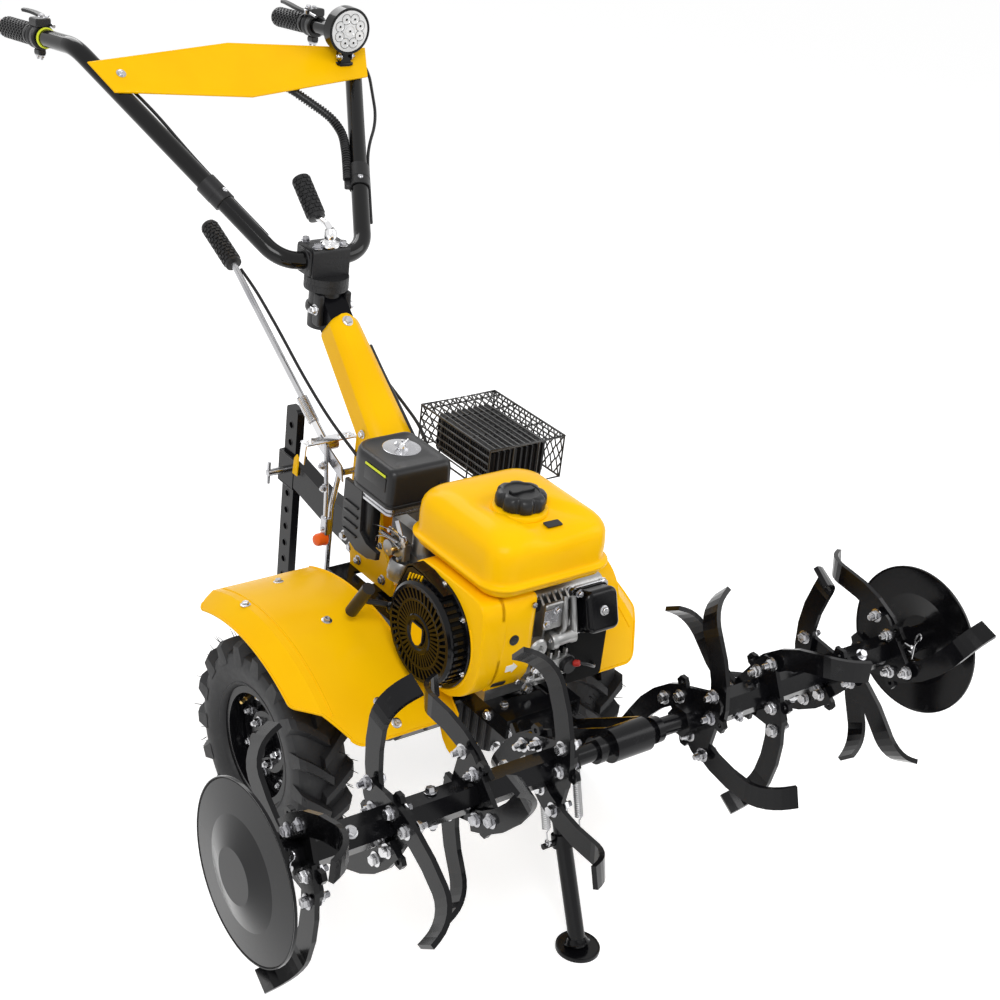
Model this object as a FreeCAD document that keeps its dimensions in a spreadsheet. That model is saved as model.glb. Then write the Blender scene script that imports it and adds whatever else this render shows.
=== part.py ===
"""Walk-behind garden tiller: two driven wheels, petrol engine, front tine rotor and swivelling handlebar.

Frame: +X is the machine's left, -Y is forward (towards the tine rotor), +Z is up.
The ground is z = 0 and the wheel axle runs along X at y = sizes.axle_y.
"""
import FreeCAD
import Part
import Sketcher
import math
import os

V = FreeCAD.Vector
X_AXIS = V(1, 0, 0)
Y_AXIS = V(0, 1, 0)
Z_AXIS = V(0, 0, 1)

DRIVING_SIZES = (
    # place of the machine along Y, so that the origin is midway along it
    ("axle_y", -179.7),
    # wheels
    ("tyre_radius", 188.0),
    ("fitted_tyre_radius", 188.0),
    ("tyre_width", 100.0),
    ("tyre_bead_radius", 96.0),
    ("wheel_track", 580.0),
    ("bead_half_width", 30.0),
    ("rim_lip_radius", 104.0),
    ("rim_gauge", 4.0),
    ("wheel_disc_gauge", 6.0),
    ("wheel_disc_dish", 8.0),
    ("hub_radius", 24.0),
    ("hub_flange_radius", 52.0),
    ("axle_radius", 14.0),
    ("axle_boss_radius", 34.0),
    ("running_gap", 0.05),
    ("seat_gap", 0.3),
    # gearbox and bed
    ("gearbox_width", 116.0),
    ("gearbox_boss_radius", 62.0),
    ("gearbox_top", 340.0),
    ("gearbox_front", -150.0),
    ("gearbox_rear", 120.0),
    ("gearbox_nose", 124.0),
    ("bed_height", 372.0),
    ("bed_width", 150.0),
    ("bed_front", -350.0),
    ("bed_rear", 200.0),
    ("bed_angle_leg", 34.0),
    ("plate_gauge", 6.0),
    # stand
    ("stand_pivot_y", -388.0),
    ("stand_pivot_z", 288.0),
    ("stand_foot_y", -512.0),
    ("stand_tube_radius", 14.0),
    ("stand_foot_radius", 37.0),
    ("stand_foot_height", 5.0),
    ("stand_cheek_gap", 36.0),
    ("stand_pin_radius", 7.0),
    ("stand_collar_lift", 172.0),
    ("spring_radius", 8.0),
    ("spring_offset", 34.0),
    # tine rotor
    ("rotor_y", -542.0),
    ("rotor_z", 432.0),
    ("rotor_half_width", 675.0),
    ("rotor_tube_radius", 15.0),
    ("rotor_sleeve_radius", 26.0),
    ("rotor_sleeve_start", 108.0),
    ("tine_reach", 192.0),
    ("tine_width", 35.0),
    ("tine_gauge", 8.0),
    ("tine_bend_radius", 62.0),
    ("tine_bend_angle", 64.0),
    ("tine_offset", 40.0),
    ("tine_set_first", 146.0),
    ("tine_outer_gap", 74.0),
    ("tine_lobe_reach", 50.0),
    ("tine_lobe_radius", 20.0),
    ("tine_plate_gauge", 8.0),
    ("guard_disc_radius", 131.0),
    ("guard_disc_dish", 26.0),
    ("guard_disc_gauge", 3.0),
    ("bearing_radius", 27.0),
    ("bearing_length", 46.0),
    ("carrier_half_gap", 30.0),
    # engine
    ("crank_y", -205.0),
    ("crank_height", 106.0),
    ("block_length", 176.0),
    ("block_x", 36.5),
    ("block_width", 223.0),
    ("block_height", 178.0),
    ("cylinder_tilt", 18.0),
    ("cylinder_x", 112.0),
    ("cylinder_size", 72.0),
    ("fin_size", 80.0),
    ("fin_gauge", 4.0),
    ("fin_pitch", 13.0),
    ("head_reach", 96.2),
    ("rocker_cover_size", 72.0),
    ("rocker_cover_width", 66.0),
    ("rocker_cover_depth", 40.0),
    ("blower_radius", 104.0),
    ("blower_inner_x", -75.0),
    ("blower_depth", 52.0),
    ("blower_wrap", 56.0),
    ("recoil_radius", 95.0),
    ("recoil_depth", 34.0),
    ("recoil_handle_x", -190.0),
    ("recoil_handle_y", -76.0),
    ("tank_width", 250.0),
    ("tank_length", 258.0),
    ("tank_x", 4.0),
    ("tank_y", -206.0),
    ("tank_seam_z", 602.0),
    ("tank_rise", 88.0),
    ("tank_drop", 18.0),
    ("tank_flange", 7.0),
    ("tank_corner", 42.0),
    ("cap_radius", 42.0),
    ("cap_height", 28.0),
    ("cleaner_lobe_radius", 46.0),
    ("cleaner_corner_radius", 18.0),
    ("cleaner_x", -53.0),
    ("cleaner_y", 36.0),
    ("cleaner_width", 130.0),
    ("cleaner_length", 142.0),
    ("cleaner_height", 70.0),
    ("cleaner_z", 606.0),
    ("muffler_x", 155.0),
    ("muffler_y", 62.0),
    ("muffler_width", 130.0),
    ("muffler_length", 176.0),
    ("muffler_height", 62.0),
    ("muffler_z", 606.0),
    ("wire_guard_gap", 15.0),
    ("wire_gauge", 3.0),
    ("wire_pitch", 19.0),
    # belt guard
    ("belt_guard_depth", 44.0),
    ("belt_guard_top_radius", 66.0),
    ("belt_guard_foot_radius", 44.0),
    ("belt_guard_foot_y", -40.0),
    # fenders
    ("fender_inner", 133.0),
    ("fender_guard_inner", 206.0),
    ("fender_toe_inner", 92.0),
    ("fender_toe_length", 52.0),
    ("fender_outer", 358.0),
    ("fender_radius", 380.0),
    ("fender_centre_y", 20.0),
    ("fender_centre_z", 54.0),
    ("fender_gauge", 3.0),
    ("fender_lip", 34.0),
    ("fender_front", -244.0),
    ("fender_rear", 168.0),
    ("fender_side_front", -150.0),
    # column and handlebar
    ("column_foot_y", 165.0),
    ("column_foot_z", 633.0),
    ("column_size", 46.0),
    ("swivel_y", 385.0),
    ("swivel_z", 846.0),
    ("swivel_radius", 40.0),
    ("swivel_flange", 12.0),
    ("crossbar_y", 400.0),
    ("crossbar_z", 884.0),
    ("bar_radius", 16.0),
    ("bar_bottom_half", 84.0),
    ("bar_top_half", 288.0),
    ("bar_top_y", 806.0),
    ("bar_top_z", 1172.0),
    ("bar_bend_radius", 62.0),
    ("grip_half", 294.0),
    ("grip_end_y", 1094.0),
    ("grip_end_z", 1140.0),
    ("grip_length", 118.0),
    ("grip_radius", 20.0),
    ("panel_place", 0.854),
    ("panel_gauge", 3.0),
    ("panel_top_half", 288.0),
    ("panel_foot_half", 262.0),
    ("panel_end_top", 22.0),
    ("panel_end_foot", 47.0),
    ("panel_mid_top", 50.0),
    ("panel_mid_foot", 77.0),
    ("lamp_x", 224.0),
    ("lamp_z", 1202.0),
    ("lamp_radius", 44.0),
    ("lamp_depth", 46.0),
    # drawbar
    ("drag_bar_y", 459.0),
    ("drag_bar_top", 568.0),
    ("drag_bar_foot", 150.0),
    ("drag_bar_depth", 40.0),
    ("drag_bar_width", 16.0),
    ("drag_hole_radius", 6.0),
    ("drag_hole_pitch", 36.0),
    ("hitch_z", 440.0),
    # levers
    ("gear_lever_x", -56.0),
    ("lever_rod_radius", 6.0),
    ("lever_grip_radius", 15.0),
    # cables
    ("cable_radius", 3.0),
    ("conduit_radius", 7.0),
)

os.makedirs("parts", exist_ok=True)
doc = FreeCAD.newDocument("garden_tiller")
sheet = doc.addObject("Spreadsheet::Sheet", "sizes")
for row, (alias, number) in enumerate(DRIVING_SIZES, start=1):
    sheet.set("A%d" % row, alias)
    sheet.set("B%d" % row, str(number))
    sheet.setAlias("B%d" % row, alias)
doc.recompute()

parts = []


def size(alias):
    """The number held by one cell of the sheet."""
    return float(sheet.get(alias))


AXLE_Y = size("axle_y")


# Heights of the body are drawn for the fitted tyre; a larger tyre lifts the body over its crown.
BODY_LIFT = 2 * (size("tyre_radius") - size("fitted_tyre_radius"))
BODY_RISE = " + 2 * (sizes.tyre_radius - sizes.fitted_tyre_radius)"


def at(x, y, z):
    """A point of the body, given from the wheel axle along Y, in the machine's frame."""
    return V(x, y + AXLE_Y, z + BODY_LIFT)


def keep(node, label):
    """Names an object of the document as one sub-part of the machine."""
    node.Label = label
    parts.append(node)
    return node


def keep_shape(label, shape):
    """Stores a shape worked out from the sheet as one sub-part."""
    node = doc.addObject("Part::Feature", label)
    node.Shape = shape
    return keep(node, label)


def set_place(node, x, y, z):
    """Binds an object's place to the sheet: y is given from the wheel axle."""
    node.setExpression("Placement.Base.x", x)
    node.setExpression("Placement.Base.y", "sizes.axle_y + (%s)" % y)
    node.setExpression("Placement.Base.z", z)


def sketch_on(body, role, offset="0"):
    """A sketch on one of the body's own origin planes, moved out along the plane's normal."""
    sketch = body.newObject("Sketcher::SketchObject", "sketch")
    plane = [item for item in body.Origin.OriginFeatures if item.Role == role][0]
    sketch.AttachmentSupport = [(plane, "")]
    sketch.MapMode = "FlatFace"
    sketch.setExpression("AttachmentOffset.Base.z", offset)
    return sketch


def evaluate(text):
    """The present value of an expression on the sheet's cells."""
    probe = sheet.evalExpression(text)
    return float(getattr(probe, "Value", probe))


def draw_outline(sketch, corners):
    """A closed outline of straight lines whose corners are each bound to two expressions."""
    places = [(evaluate(cx), evaluate(cy)) for cx, cy in corners]
    first = sketch.GeometryCount
    count = len(corners)
    for index in range(count):
        start = V(*places[index], 0)
        end = V(*places[(index + 1) % count], 0)
        sketch.addGeometry(Part.LineSegment(start, end), False)
    for index in range(count):
        after = first + (index + 1) % count
        sketch.addConstraint(Sketcher.Constraint("Coincident", first + index, 2, after, 1))
    for index, (cx, cy) in enumerate(corners):
        line = first + index
        across = sketch.addConstraint(Sketcher.Constraint("DistanceX", -1, 1, line, 1, places[index][0]))
        sketch.setExpression("Constraints[%d]" % across, cx)
        upward = sketch.addConstraint(Sketcher.Constraint("DistanceY", -1, 1, line, 1, places[index][1]))
        sketch.setExpression("Constraints[%d]" % upward, cy)


def draw_circle(sketch, cx, cy, radius):
    """A circle bound to the sheet by its centre and radius."""
    centre = V(evaluate(cx), evaluate(cy), 0)
    ring = sketch.addGeometry(Part.Circle(centre, Z_AXIS, evaluate(radius)), False)
    number = sketch.addConstraint(Sketcher.Constraint("Radius", ring, evaluate(radius)))
    sketch.setExpression("Constraints[%d]" % number, radius)
    number = sketch.addConstraint(Sketcher.Constraint("DistanceX", -1, 1, ring, 3, centre.x))
    sketch.setExpression("Constraints[%d]" % number, cx)
    number = sketch.addConstraint(Sketcher.Constraint("DistanceY", -1, 1, ring, 3, centre.y))
    sketch.setExpression("Constraints[%d]" % number, cy)


def new_body(name):
    return doc.addObject("PartDesign::Body", name)


def pad(body, sketch, length, midplane=True, reverse=False):
    """A pad of the sketch, centred on it unless told otherwise."""
    feature = body.newObject("PartDesign::Pad", "pad")
    feature.Profile = sketch
    feature.Midplane = midplane
    feature.Reversed = reverse
    feature.setExpression("Length", length)
    return feature


def pocket_through(body, sketch):
    """A cut right through the body, both ways from the sketch."""
    feature = body.newObject("PartDesign::Pocket", "pocket")
    feature.Profile = sketch
    feature.Type = 1
    feature.Midplane = True
    return feature


def turn(body, sketch):
    """A full turn of the sketch about its horizontal axis."""
    feature = body.newObject("PartDesign::Revolution", "turned")
    feature.Profile = sketch
    feature.ReferenceAxis = (sketch, ["H_Axis"])
    feature.Angle = 360
    return feature


def fillet_edges(body, radius, wanted):
    """Rounds the edges of the body's tip for which wanted(edge) holds."""
    doc.recompute()
    tip = body.Tip
    names = ["Edge%d" % (number + 1) for number, edge in enumerate(tip.Shape.Edges) if wanted(edge)]
    feature = body.newObject("PartDesign::Fillet", "rounding")
    feature.Base = (tip, names)
    feature.setExpression("Radius", radius)
    return feature


def along(edge, axis):
    """True for a straight edge that runs along the axis."""
    if not isinstance(edge.Curve, Part.Line):
        return False
    return abs(abs(edge.tangentAt(edge.FirstParameter).dot(axis)) - 1) < 1e-6


def turned_part(label, profile, x, y, z):
    """A body turned about an axis along X; the profile's corners are (x, radius)."""
    body = new_body(label)
    sketch = sketch_on(body, "XZ_Plane")
    draw_outline(sketch, profile)
    turn(body, sketch)
    set_place(body, x, y, z)
    return keep(body, label)


def rounded_wire(points, radii):
    """Straight runs joined by tangent arcs of the given radii at the inner points."""
    edges = []
    start = points[0]
    for index in range(1, len(points) - 1):
        corner = points[index]
        back = (points[index - 1] - corner).normalize()
        ahead = (points[index + 1] - corner).normalize()
        half_turn = (math.pi - back.getAngle(ahead)) / 2
        cut = radii[index - 1] * math.tan(half_turn)
        into = corner + back * cut
        out = corner + ahead * cut
        bisector = (back + ahead).normalize()
        middle = corner + bisector * (radii[index - 1] / math.cos(half_turn) - radii[index - 1])
        edges.append(Part.LineSegment(start, into).toShape())
        edges.append(Part.Arc(into, middle, out).toShape())
        start = out
    edges.append(Part.LineSegment(start, points[-1]).toShape())
    return Part.Wire(edges)


def cable(name, points, radius):
    """A cable along its corners: each arc takes 0.45 of the shorter run beside it."""
    radii = []
    for index in range(1, len(points) - 1):
        back = points[index - 1] - points[index]
        ahead = points[index + 1] - points[index]
        half_turn = (math.pi - back.getAngle(ahead)) / 2
        radii.append(0.45 * min(back.Length, ahead.Length) / math.tan(half_turn))
    path = rounded_wire(points, radii)
    tube = tube_along(path, radius)
    share = tube.Volume / (path.Length * math.pi * radius ** 2)
    print("%s: radii %s, volume %.4f of section by length" % (name, [round(r) for r in radii], share))
    return tube


def tube_along(path, radius):
    """A solid round bar along a wire."""
    heading = path.Edges[0].tangentAt(path.Edges[0].FirstParameter)
    ring = Part.Wire(Part.Circle(path.Edges[0].Vertexes[0].Point, heading, radius).toShape())
    return path.makePipeShell([ring], True, False)


def rod(start, end, radius):
    """A round bar between two points."""
    run = end - start
    return Part.makeCylinder(radius, run.Length, start, run)


def block(centre, across, deep, tall):
    """A box by its centre and its three sizes."""
    corner = centre - V(across / 2, deep / 2, tall / 2)
    return Part.makeBox(across, deep, tall, corner)


def prism(points, thickness, outward):
    """A flat plate: the outline's points pushed out along a vector's direction."""
    face = Part.Face(Part.makePolygon(points + [points[0]]))
    return face.extrude(outward * thickness)


# ---------------------------------------------------------------- wheels

def build_tyre(side_name, side):
    """A farm tyre as its outer envelope: rounded shoulders, straight walls down to the beads."""
    rise = "sizes.tyre_bead_radius + %s * (sizes.tyre_radius - sizes.tyre_bead_radius)"
    right_half = [
        ("sizes.bead_half_width", "sizes.tyre_bead_radius"),
        ("sizes.bead_half_width", "sizes.rim_lip_radius + 2"),
        ("0.46 * sizes.tyre_width", rise % "0.25"),
        ("0.50 * sizes.tyre_width", rise % "0.60"),
        ("0.42 * sizes.tyre_width", rise % "0.93"),
        ("0.20 * sizes.tyre_width", "sizes.tyre_radius"),
    ]
    left_half = [("-" + across, radius) for across, radius in reversed(right_half)]
    turned_part("tyre_" + side_name, right_half + left_half,
                "%d * sizes.wheel_track / 2" % side, "0", "sizes.tyre_radius")


def build_rim(side_name, side):
    """The steel rim: a well with two bead flanges and a dished disc welded across it."""
    well = "sizes.tyre_bead_radius - sizes.rim_gauge"
    edge = "(sizes.bead_half_width + sizes.rim_gauge)"
    disc = "sizes.wheel_disc_gauge / 2"
    dish = "%d * sizes.wheel_disc_dish" % side
    turned_part("rim_" + side_name, [
        ("-" + edge, "sizes.rim_lip_radius"),
        ("-" + edge, well),
        ("-" + disc, well),
        ("-%s" % disc, "sizes.hub_flange_radius + 12"),
        ("-%s + %s" % (disc, dish), "sizes.hub_flange_radius + 2"),
        ("-%s + %s" % (disc, dish), "sizes.hub_radius"),
        ("%s + %s" % (disc, dish), "sizes.hub_radius"),
        ("%s + %s" % (disc, dish), "sizes.hub_flange_radius + 2"),
        (disc, "sizes.hub_flange_radius + 12"),
        (disc, well),
        (edge, well),
        (edge, "sizes.rim_lip_radius"),
        ("%s - sizes.rim_gauge" % edge, "sizes.rim_lip_radius"),
        ("%s - sizes.rim_gauge" % edge, "sizes.tyre_bead_radius"),
        ("sizes.rim_gauge - %s" % edge, "sizes.tyre_bead_radius"),
        ("sizes.rim_gauge - %s" % edge, "sizes.rim_lip_radius"),
    ], "%d * sizes.wheel_track / 2" % side, "0", "sizes.tyre_radius")


def build_hub(side_name, side):
    """The flanged sleeve and half axle that carry one wheel; the axle's end runs in the gearbox."""
    face = "%d * (sizes.wheel_track / 2 + sizes.wheel_disc_dish - sizes.wheel_disc_gauge / 2)" % side
    back = "%s - %d * sizes.plate_gauge" % (face, side)
    shoulder = "%d * (sizes.gearbox_width / 2 + 20)" % side
    turned_part("hub_" + side_name, [
        ("%d * (sizes.gearbox_width / 2 - 24)" % side, "0"),
        ("%d * (sizes.gearbox_width / 2 - 24)" % side, "sizes.axle_radius"),
        (shoulder, "sizes.axle_radius"),
        (shoulder, "sizes.hub_radius"),
        (back, "sizes.hub_radius"),
        (back, "sizes.hub_flange_radius"),
        (face, "sizes.hub_flange_radius"),
        (face, "sizes.hub_radius"),
        ("%d * (sizes.wheel_track / 2 + 30)" % side, "sizes.hub_radius"),
        ("%d * (sizes.wheel_track / 2 + 30)" % side, "0"),
    ], "0", "0", "sizes.tyre_radius")


for wheel_name, wheel_side in (("right", -1), ("left", 1)):
    build_tyre(wheel_name, wheel_side)
    build_rim(wheel_name, wheel_side)
    build_hub(wheel_name, wheel_side)


# ---------------------------------------------------------------- gearbox, bed and front bracket

def build_gearbox():
    """The cast case: a block under the bed that narrows down to the round axle boss."""
    body = new_body("gearbox")
    side_view = sketch_on(body, "YZ_Plane")
    draw_outline(side_view, [
        ("sizes.gearbox_front", "sizes.gearbox_top" + BODY_RISE),
        ("sizes.gearbox_front", "sizes.gearbox_top - 70" + BODY_RISE),
        ("-sizes.gearbox_boss_radius", "sizes.tyre_radius - 20"),
        ("-0.55 * sizes.gearbox_boss_radius", "sizes.tyre_radius - 0.9 * sizes.gearbox_boss_radius"),
        ("0.55 * sizes.gearbox_boss_radius", "sizes.tyre_radius - 0.9 * sizes.gearbox_boss_radius"),
        ("sizes.gearbox_boss_radius", "sizes.tyre_radius - 20"),
        ("sizes.gearbox_rear", "sizes.gearbox_top - 60" + BODY_RISE),
        ("sizes.gearbox_rear", "sizes.gearbox_top" + BODY_RISE),
    ])
    pad(body, side_view, "sizes.gearbox_width")
    fillet_edges(body, "12", lambda edge: along(edge, X_AXIS) and edge.CenterOfMass.z < size("gearbox_top") + BODY_LIFT - 1)
    nose = sketch_on(body, "YZ_Plane")
    draw_outline(nose, [
        ("sizes.gearbox_front + 10", "sizes.gearbox_top - 12" + BODY_RISE),
        ("sizes.gearbox_front - sizes.gearbox_nose", "sizes.gearbox_top - 18" + BODY_RISE),
        ("sizes.gearbox_front - sizes.gearbox_nose", "sizes.gearbox_top - 84" + BODY_RISE),
        ("sizes.gearbox_front - 0.75 * sizes.gearbox_nose", "sizes.gearbox_top - 98" + BODY_RISE),
        ("sizes.gearbox_front + 10", "sizes.gearbox_top - 66" + BODY_RISE),
    ])
    pad(body, nose, "sizes.gearbox_width - 32")
    boss = sketch_on(body, "YZ_Plane")
    draw_circle(boss, "0", "sizes.tyre_radius", "sizes.axle_boss_radius")
    pad(body, boss, "sizes.gearbox_width + 32")
    bore = sketch_on(body, "YZ_Plane")
    draw_circle(bore, "0", "sizes.tyre_radius", "sizes.axle_radius + sizes.running_gap")
    pocket_through(body, bore)
    set_place(body, "0", "0", "0")
    keep(body, "gearbox")


def build_bed():
    """Two angle rails on the gearbox with three cross plates; the engine stands on them."""
    gauge = size("plate_gauge")
    top = size("bed_height")
    leg = size("bed_angle_leg")
    length = size("bed_rear") - size("bed_front")
    middle_y = (size("bed_rear") + size("bed_front")) / 2
    solids = []
    for side in (-1, 1):
        edge = side * size("bed_width") / 2
        solids.append(block(at(edge - side * leg / 2, middle_y, top - gauge / 2), leg, length, gauge))
        solids.append(block(at(edge - side * gauge / 2, middle_y, top - leg / 2), gauge, length, leg))
    for cross_y in (size("bed_front") + leg / 2, -60, size("bed_rear") - leg / 2):
        solids.append(block(at(0, cross_y, top - gauge / 2), size("bed_width"), leg, gauge))
    for seat_y in (size("gearbox_front") + 20, size("gearbox_rear") - 20):
        tall = top - gauge - size("gearbox_top")
        solids.append(block(at(0, seat_y, top - gauge - tall / 2), size("gearbox_width"), 30, tall))
        solids.append(block(at(0, seat_y, top - gauge / 2), size("bed_width"), 30, gauge))
    keep_shape("engine_bed", solids[0].multiFuse(solids[1:]).removeSplitter())


def build_carrier():
    """The front bracket: cheeks for the stand's hinge and two arms that carry the rotor's bearing."""
    gauge = size("plate_gauge")
    gap = size("stand_cheek_gap")
    pivot_y = size("stand_pivot_y")
    pivot_z = size("stand_pivot_z")
    rotor = (size("rotor_y"), size("rotor_z"))
    top = size("bed_height") - gauge
    front = size("bed_front")
    solids = []
    for side in (-1, 1):
        inner = side * gap / 2
        cheek = [at(inner, front + 60, top), at(inner, pivot_y - 16, top), at(inner, pivot_y - 18, pivot_z - 6),
                 at(inner, pivot_y + 4, pivot_z - 20), at(inner, pivot_y + 34, pivot_z - 10),
                 at(inner, front + 60, top - 30)]
        solids.append(prism(cheek, gauge, V(side, 0, 0)))
        arm_x = side * size("carrier_half_gap")
        reach = [at(arm_x, front + 50, top), at(arm_x, front + 10, top - 34), at(arm_x, rotor[0] + 10, rotor[1] - 26),
                 at(arm_x, rotor[0] - 12, rotor[1]), at(arm_x, rotor[0] + 14, rotor[1] + 24),
                 at(arm_x, pivot_y, top)]
        solids.append(prism(reach, gauge, V(side, 0, 0)))
    deck_y = (pivot_y - 16 + front + 60) / 2
    deck_length = front + 60 - (pivot_y - 16)
    wide = 2 * (size("carrier_half_gap") + gauge)
    solids.append(block(at(0, deck_y, top - gauge / 2), wide, deck_length, gauge))
    sleeve = Part.makeCylinder(size("bearing_radius"), size("bearing_length") + 2 * gauge + 14,
                               at(-(size("bearing_length") / 2 + gauge + 7), rotor[0], rotor[1]), X_AXIS)
    solids.append(sleeve)
    anchor_y = pivot_y - 8
    solids.append(rod(at(-size("spring_offset") - 8, anchor_y, pivot_z + 34),
                      at(size("spring_offset") + 8, anchor_y, pivot_z + 34), 5))
    shape = solids[0].multiFuse(solids[1:])
    length = 400
    bore = Part.makeCylinder(size("rotor_tube_radius") + size("running_gap"), length,
                             at(-length / 2, rotor[0], rotor[1]), X_AXIS)
    pin_hole = Part.makeCylinder(size("stand_pin_radius") + size("running_gap"), length,
                                 at(-length / 2, pivot_y, pivot_z), X_AXIS)
    keep_shape("front_bracket", shape.cut(bore).cut(pin_hole).removeSplitter())


build_gearbox()
build_bed()
build_carrier()


# ---------------------------------------------------------------- stand

def build_stand():
    """A leaning leg on a cross pin, with a collar for the two springs and a round foot."""
    pivot = at(0, size("stand_pivot_y"), size("stand_pivot_z"))
    ground = V(0, size("stand_foot_y") + AXLE_Y, size("stand_foot_height"))
    gap = size("stand_cheek_gap")
    gauge = size("plate_gauge")
    radius = size("stand_tube_radius")
    leg = rod(pivot, ground, radius)
    leg = leg.cut(block(ground - V(0, 0, 40), 200, 200, 80))
    foot = Part.makeCylinder(size("stand_foot_radius"), size("stand_foot_height") + 0.4,
                             ground - V(0, 0, size("stand_foot_height")))
    knuckle = Part.makeCylinder(radius + 3, gap - 1, pivot - V((gap - 1) / 2, 0, 0), X_AXIS)
    pin_end = gap / 2 + gauge + 6
    pin = Part.makeCylinder(size("stand_pin_radius"), 2 * pin_end, pivot - V(pin_end, 0, 0), X_AXIS)
    lift = (size("stand_collar_lift") - ground.z) / (pivot.z - ground.z)
    hold = ground + (pivot - ground) * lift
    axis = (pivot - ground).normalize()
    collar = Part.makeCylinder(radius + 5, 22, hold - axis * 11, axis)
    arm = size("spring_offset") + 8
    bar = Part.makeCylinder(5, 2 * arm, hold - V(arm, 0, 0), X_AXIS)
    keep_shape("stand_leg", leg.multiFuse([foot, knuckle, pin, collar, bar]).removeSplitter())
    top_y = size("stand_pivot_y") - 8
    top_z = size("stand_pivot_z") + 34
    springs = []
    for side in (-1, 1):
        upper = at(side * size("spring_offset"), top_y, top_z)
        lower = hold + V(side * size("spring_offset"), 0, 0)
        run = (lower - upper).normalize()
        springs.append(rod(upper + run * 5.3, lower - run * 5.3, size("spring_radius")))
    keep_shape("stand_springs", Part.makeCompound(springs))


build_stand()


# ---------------------------------------------------------------- tine rotor

# Each set: its place along the axle in sets from the middle, its first blade's direction in degrees
# (0 is forward, 90 is up), which way its blades lean, and the side that each blade is bent to.
TINE_SETS = (
    (-4, 33.0, -1, (-1, 1, -1)),
    (-3, 102.0, -1, (1, -1, -1)),
    (-2, 41.0, 1, (-1, 1, -1)),
    (-1, 103.0, 1, (-1, 1, -1)),
    (1, 103.0, 1, (1, -1, 1)),
    (2, 36.0, -1, (1, -1, -1)),
    (3, 91.0, -1, (-1, -1, 1)),
    (4, 36.0, 1, (1, 1, -1)),
)


def blade_line():
    """Stations along a blade: the way out, the sickle's offset, its slope, and the side bend so far."""
    reach = size("tine_reach")
    offset = size("tine_offset")
    bend = size("tine_bend_radius")
    full = math.radians(size("tine_bend_angle"))
    start = -10.0
    sickle = [(start, -offset * 0.86), (offset * 0.9, -offset * 1.12), (reach * 0.62, -offset * 0.90), (reach, 0.0)]
    curve = Part.BSplineCurve()
    curve.interpolate([V(u, v, 0) for u, v in sickle])
    edge = curve.toShape()
    tail = 14.0
    advance = bend * math.sin(full) + tail * math.cos(full)
    flat = edge.Length - advance
    stations = [(flat * step / 4, 0.0, 0.0) for step in range(5)]
    for step in range(1, 7):
        angle = full * step / 6
        stations.append((flat + bend * math.sin(angle), bend * (1 - math.cos(angle)), angle))
    stations.append((edge.Length, stations[-1][1] + tail * math.sin(full), full))
    line = []
    for length, aside, angle in stations:
        place = curve.parameterAtDistance(length, curve.FirstParameter)
        point = curve.value(place)
        line.append((point, curve.tangent(place)[0], aside, angle))
    return line


def tine_blade(face_x, outward, lean, direction):
    """One sickle blade: a flat bar that lies along a plate's face and bends sideways to its end."""
    gauge = size("tine_gauge")
    width = size("tine_width")
    wires = []
    for point, tangent, aside, angle in blade_line():
        flat_way = V(tangent.y, -tangent.x, 0)
        rise = V(0, 0, 1)
        through = rise * math.cos(angle) - V(tangent.x, tangent.y, 0) * math.sin(angle)
        middle = V(point.x, point.y, aside + gauge / 2)
        corners = [middle + through * (n * gauge / 2) + flat_way * (w * width / 2)
                   for n, w in ((-1, -1), (1, -1), (1, 1), (-1, 1))]
        wires.append(Part.makePolygon(corners + [corners[0]]))
    blade = Part.makeLoft(wires, True, True)
    relief = size("rotor_sleeve_radius") + size("seat_gap")
    blade = blade.cut(Part.makeCylinder(relief, 4 * gauge, V(0, 0, -2 * gauge)))
    turned = FreeCAD.Matrix()
    way = math.radians(direction)
    out = V(0, -math.cos(way), math.sin(way))
    across = V(0, math.sin(way), math.cos(way)) * lean
    turned.A11, turned.A12, turned.A13 = out.x, across.x, outward
    turned.A21, turned.A22, turned.A23 = out.y, across.y, 0
    turned.A31, turned.A32, turned.A33 = out.z, across.z, 0
    blade = blade.transformGeometry(turned)
    blade.translate(at(face_x, size("rotor_y"), size("rotor_z")))
    return blade


def tine_set_x(place):
    """The middle of a set's plate along the axle."""
    outer = size("rotor_half_width") - size("guard_disc_dish") - size("tine_outer_gap")
    pitch = (outer - size("tine_set_first")) / 3
    return math.copysign(size("tine_set_first") + pitch * (abs(place) - 1), place)


def hexagon(radius, length, start):
    """A hexagonal bar along X, by the radius to its corners."""
    points = [start + V(0, radius * math.cos(math.radians(60 * n)), radius * math.sin(math.radians(60 * n)))
              for n in range(6)]
    return prism(points, length, X_AXIS)


def tine_plate(place, direction, lean):
    """A three-lobed plate on the sleeve, with a holed ear beside each blade."""
    gauge = size("tine_plate_gauge")
    lobe = size("tine_lobe_reach")
    radius = size("tine_lobe_radius")
    centre = at(tine_set_x(place) - gauge / 2, size("rotor_y"), size("rotor_z"))
    points = []
    ears = []
    for third in range(3):
        way = direction + 120 * third - lean * 52
        middle = V(0, -math.cos(math.radians(way)), math.sin(math.radians(way))) * lobe
        for turn_by in (-60, -30, 0, 30, 60):
            side = math.radians(way + turn_by)
            points.append(centre + middle + V(0, -math.cos(side), math.sin(side)) * radius)
        beside = math.radians(way - lean * 36)
        ears.append(centre + V(0, -math.cos(beside), math.sin(beside)) * (lobe + 6))
    plate = prism(points, gauge, X_AXIS)
    plate = plate.multiFuse([hexagon(11, gauge, ear) for ear in ears])
    for ear in ears:
        plate = plate.cut(Part.makeCylinder(4, gauge + 2, ear - V(1, 0, 0), X_AXIS))
    return plate


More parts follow.
